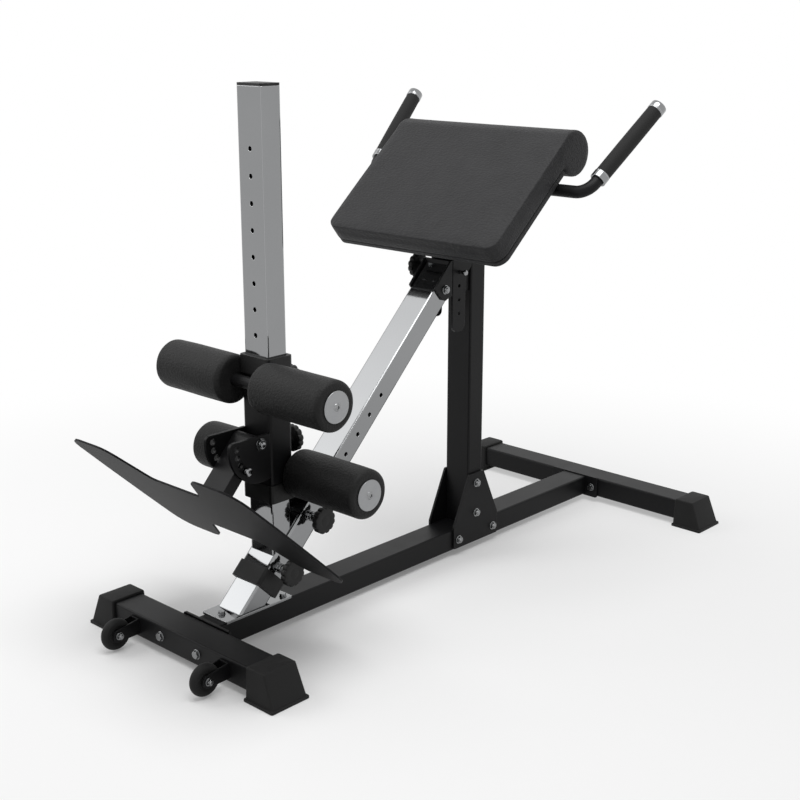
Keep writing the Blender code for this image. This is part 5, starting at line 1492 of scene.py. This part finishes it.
@dataclass
class Studio:
    """Pale floor, soft light and the camera at the photograph's angle."""

    camera_place: tuple[float, float, float] = (-2.12585, -1.9697, 1.2410)
    azimuth: float = -46.88
    elevation: float = 16.08
    lens: float = 60.39
    floor_colour: str = "F2F2F2"
    floor_glow: float = 0.16
    floor_middle: tuple[float, float, float] = (-0.40, -0.25, 0.0)
    floor_fade: tuple[float, float] = (0.45, 2.3)
    floor_rings: tuple[float, ...] = (0.0, 1.0, 2.0, 4.0, 8.0, 30.0)
    floor_depth: float = 0.0002
    white: float = 1.0
    fill: float = 0.355
    overhead_place: tuple[float, float, float] = (-0.45, -0.55, 3.2)
    overhead_aim: tuple[float, float, float] = (0.0, 0.0, 0.0)
    overhead_size: float = 2.4
    overhead_level: float = 4.1
    rear_place: tuple[float, float, float] = (-0.98, 1.70, 2.01)
    rear_aim: tuple[float, float, float] = (-0.30, 0.0, 0.35)
    rear_size: tuple[float, float] = (2.5, 1.3)
    rear_level: float = 2.26
    rear_slope: tuple[float, float, float] = (1.23, -0.14, 1.02)
    rear_start: tuple[float, float, float] = (-1.60, 1.77, 1.50)
    rear_fade: float = 1.36
    rear_end: float = 0.456

    def build(self) -> None:
        """Set up the stage."""
        self.floor()
        self.world()
        self.lamp("overhead_soft_box", self.overhead_place, self.overhead_aim, self.overhead_size,
                  self.overhead_size, self.overhead_level)
        rear = self.lamp("rear_soft_box", self.rear_place, self.rear_aim, *self.rear_size, self.rear_level,
                         self.rear_slope)
        self.fade_along(rear, Vector(self.rear_start), Vector(self.rear_slope), self.rear_fade, self.rear_end)
        self.camera()
        bpy.context.scene.view_settings.view_transform = "Standard"

    def fade_along(self, lamp: bpy.types.Light, start: Vector, slope: Vector, length: float, end: float) -> None:
        """Make a soft box fade along its slope, as one that is lit from its lower end.

        Args:
            lamp: The soft box.
            start: Where its light is full.
            slope: Direction in which it fades.
            length: Distance from the start to where it stops fading.
            end: Its level from there on.
        """
        lamp.use_nodes = True
        tree = lamp.node_tree
        tree.nodes.clear()
        axis = slope.normalized()
        place = add_node(tree, "ShaderNodeNewGeometry").outputs["Position"]
        along = add_node(tree, "ShaderNodeVectorMath", {0: place, 1: tuple(axis)}, operation="DOT_PRODUCT")
        level = add_node(tree, "ShaderNodeMapRange", {"Value": along.outputs["Value"], "From Min": start.dot(axis),
                                                      "From Max": start.dot(axis) + length, "To Min": 1.0,
                                                      "To Max": end})
        glow = add_node(tree, "ShaderNodeEmission", {"Color": (1, 1, 1, 1), "Strength": level.outputs["Result"]})
        add_node(tree, "ShaderNodeOutputLight", {"Surface": glow.outputs["Emission"]})

    def floor(self) -> None:
        """Round pale floor that fades to white away from the object."""
        turn = np.linspace(0, 2 * np.pi, 96, endpoint=False)
        radius = np.array(self.floor_rings)[:, None]
        grid = np.stack([radius * np.cos(turn), radius * np.sin(turn), 0 * radius + 0 * turn - self.floor_depth], -1)
        patch = Patch(grid)
        mesh = bpy.data.meshes.new("floor")
        mesh.from_pydata(grid.reshape(-1, 3).tolist(), [], patch.faces(0).tolist())
        floor = link("floor", mesh)
        material = bpy.data.materials.new("pale_paper")
        material.use_nodes = True
        tree = material.node_tree
        tree.nodes.clear()
        place = add_node(tree, "ShaderNodeTexCoord").outputs["Object"]
        from_middle = add_node(tree, "ShaderNodeVectorMath", {0: place, 1: self.floor_middle}, operation="SUBTRACT")
        away = add_node(tree, "ShaderNodeVectorMath", {0: from_middle.outputs["Vector"]}, operation="LENGTH")
        start, end = self.floor_fade
        fade = add_node(tree, "ShaderNodeMapRange", {"Value": away.outputs["Value"], "From Min": start,
                                                     "From Max": end, "To Min": self.floor_glow, "To Max": 1.0},
                        interpolation_type="SMOOTHSTEP")
        paper = add_node(tree, "ShaderNodeBsdfDiffuse", {"Color": linear(self.floor_colour)})
        glow = add_node(tree, "ShaderNodeEmission", {"Color": (1, 1, 1, 1), "Strength": self.white})
        mixed = add_node(tree, "ShaderNodeMixShader", {0: fade.outputs["Result"], 1: paper.outputs["BSDF"],
                                                       2: glow.outputs["Emission"]})
        add_node(tree, "ShaderNodeOutputMaterial", {"Surface": mixed.outputs["Shader"]})
        mesh.materials.append(material)

    def world(self) -> None:
        """White for the camera and for reflections, and a plain level of light for the rest."""
        world = bpy.data.worlds.new("studio")
        bpy.context.scene.world = world
        world.use_nodes = True
        tree = world.node_tree
        tree.nodes.clear()
        ray = add_node(tree, "ShaderNodeLightPath")
        seen = add_node(tree, "ShaderNodeMath", {0: ray.outputs["Is Camera Ray"], 1: ray.outputs["Is Glossy Ray"]},
                        operation="MAXIMUM")
        clear = add_node(tree, "ShaderNodeMath", {0: seen.outputs["Value"], 1: ray.outputs["Is Transmission Ray"]},
                         operation="MAXIMUM")
        level = add_node(tree, "ShaderNodeMapRange", {"Value": clear.outputs["Value"], "To Min": self.fill,
                                                      "To Max": self.white})
        sky = add_node(tree, "ShaderNodeBackground", {"Color": (1, 1, 1, 1), "Strength": level.outputs["Result"]})
        add_node(tree, "ShaderNodeOutputWorld", {"Surface": sky.outputs["Background"]})

    def lamp(self, name: str, place: tuple[float, float, float], aim: tuple[float, float, float], width: float,
             height: float, level: float, across: tuple[float, float, float] = (1.0, 0.0, 0.0)) -> bpy.types.Light:
        """Rectangular soft box that faces a point.

        Args:
            name: Name of the lamp.
            place: Its middle.
            aim: Point that it faces.
            width: Size along the direction across.
            height: Size at right angles to that.
            level: How bright its face is, where the white background is 1.
            across: Rough direction of its width.

        Returns:
            The lamp's data.
        """
        data = bpy.data.lights.new(name, "AREA")
        data.shape, data.size, data.size_y = "RECTANGLE", width, height
        data.energy = math.pi * width * height * level
        lamp = link(name, data)
        back = (Vector(place) - Vector(aim)).normalized()
        side = (Vector(across) - back * Vector(across).dot(back)).normalized()
        lamp.location = place
        lamp.rotation_euler = Matrix((side, back.cross(side), back)).transposed().to_euler()
        return data

    def camera(self) -> None:
        """Camera where the photograph was taken from."""
        data = bpy.data.cameras.new("camera")
        data.sensor_width, data.lens = 36.0, self.lens
        camera = link("camera", data)
        turn, tilt = math.radians(self.azimuth), math.radians(self.elevation)
        ahead = Vector((-math.sin(turn) * math.cos(tilt), math.cos(turn) * math.cos(tilt), -math.sin(tilt)))
        camera.location = self.camera_place
        camera.rotation_euler = ahead.to_track_quat("-Z", "Y").to_euler()
        bpy.context.scene.camera = camera


def main() -> None:
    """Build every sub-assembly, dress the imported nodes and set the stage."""
    logging.basicConfig(level=logging.INFO, format="%(message)s")
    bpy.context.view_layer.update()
    for corner in ("rear_left", "rear_right", "front_left", "front_right"):
        RubberFoot().build(f"foot_{corner}")
    for side, _ in SIDES:
        TransportWheel().build(side)
    FastenerSet().build()
    KnobSet().build()
    for level in ("upper", "lower"):
        RollerBar().build(f"{level}_axle")
        for side, _ in SIDES:
            FoamRoller().build(f"{level}_roller_{side}")
    Cushion().build()
    BackingBoard().build()
    Handles().build()
    PackedFinishes().build()
    Studio().build()


if __name__ == "__main__":
    main()
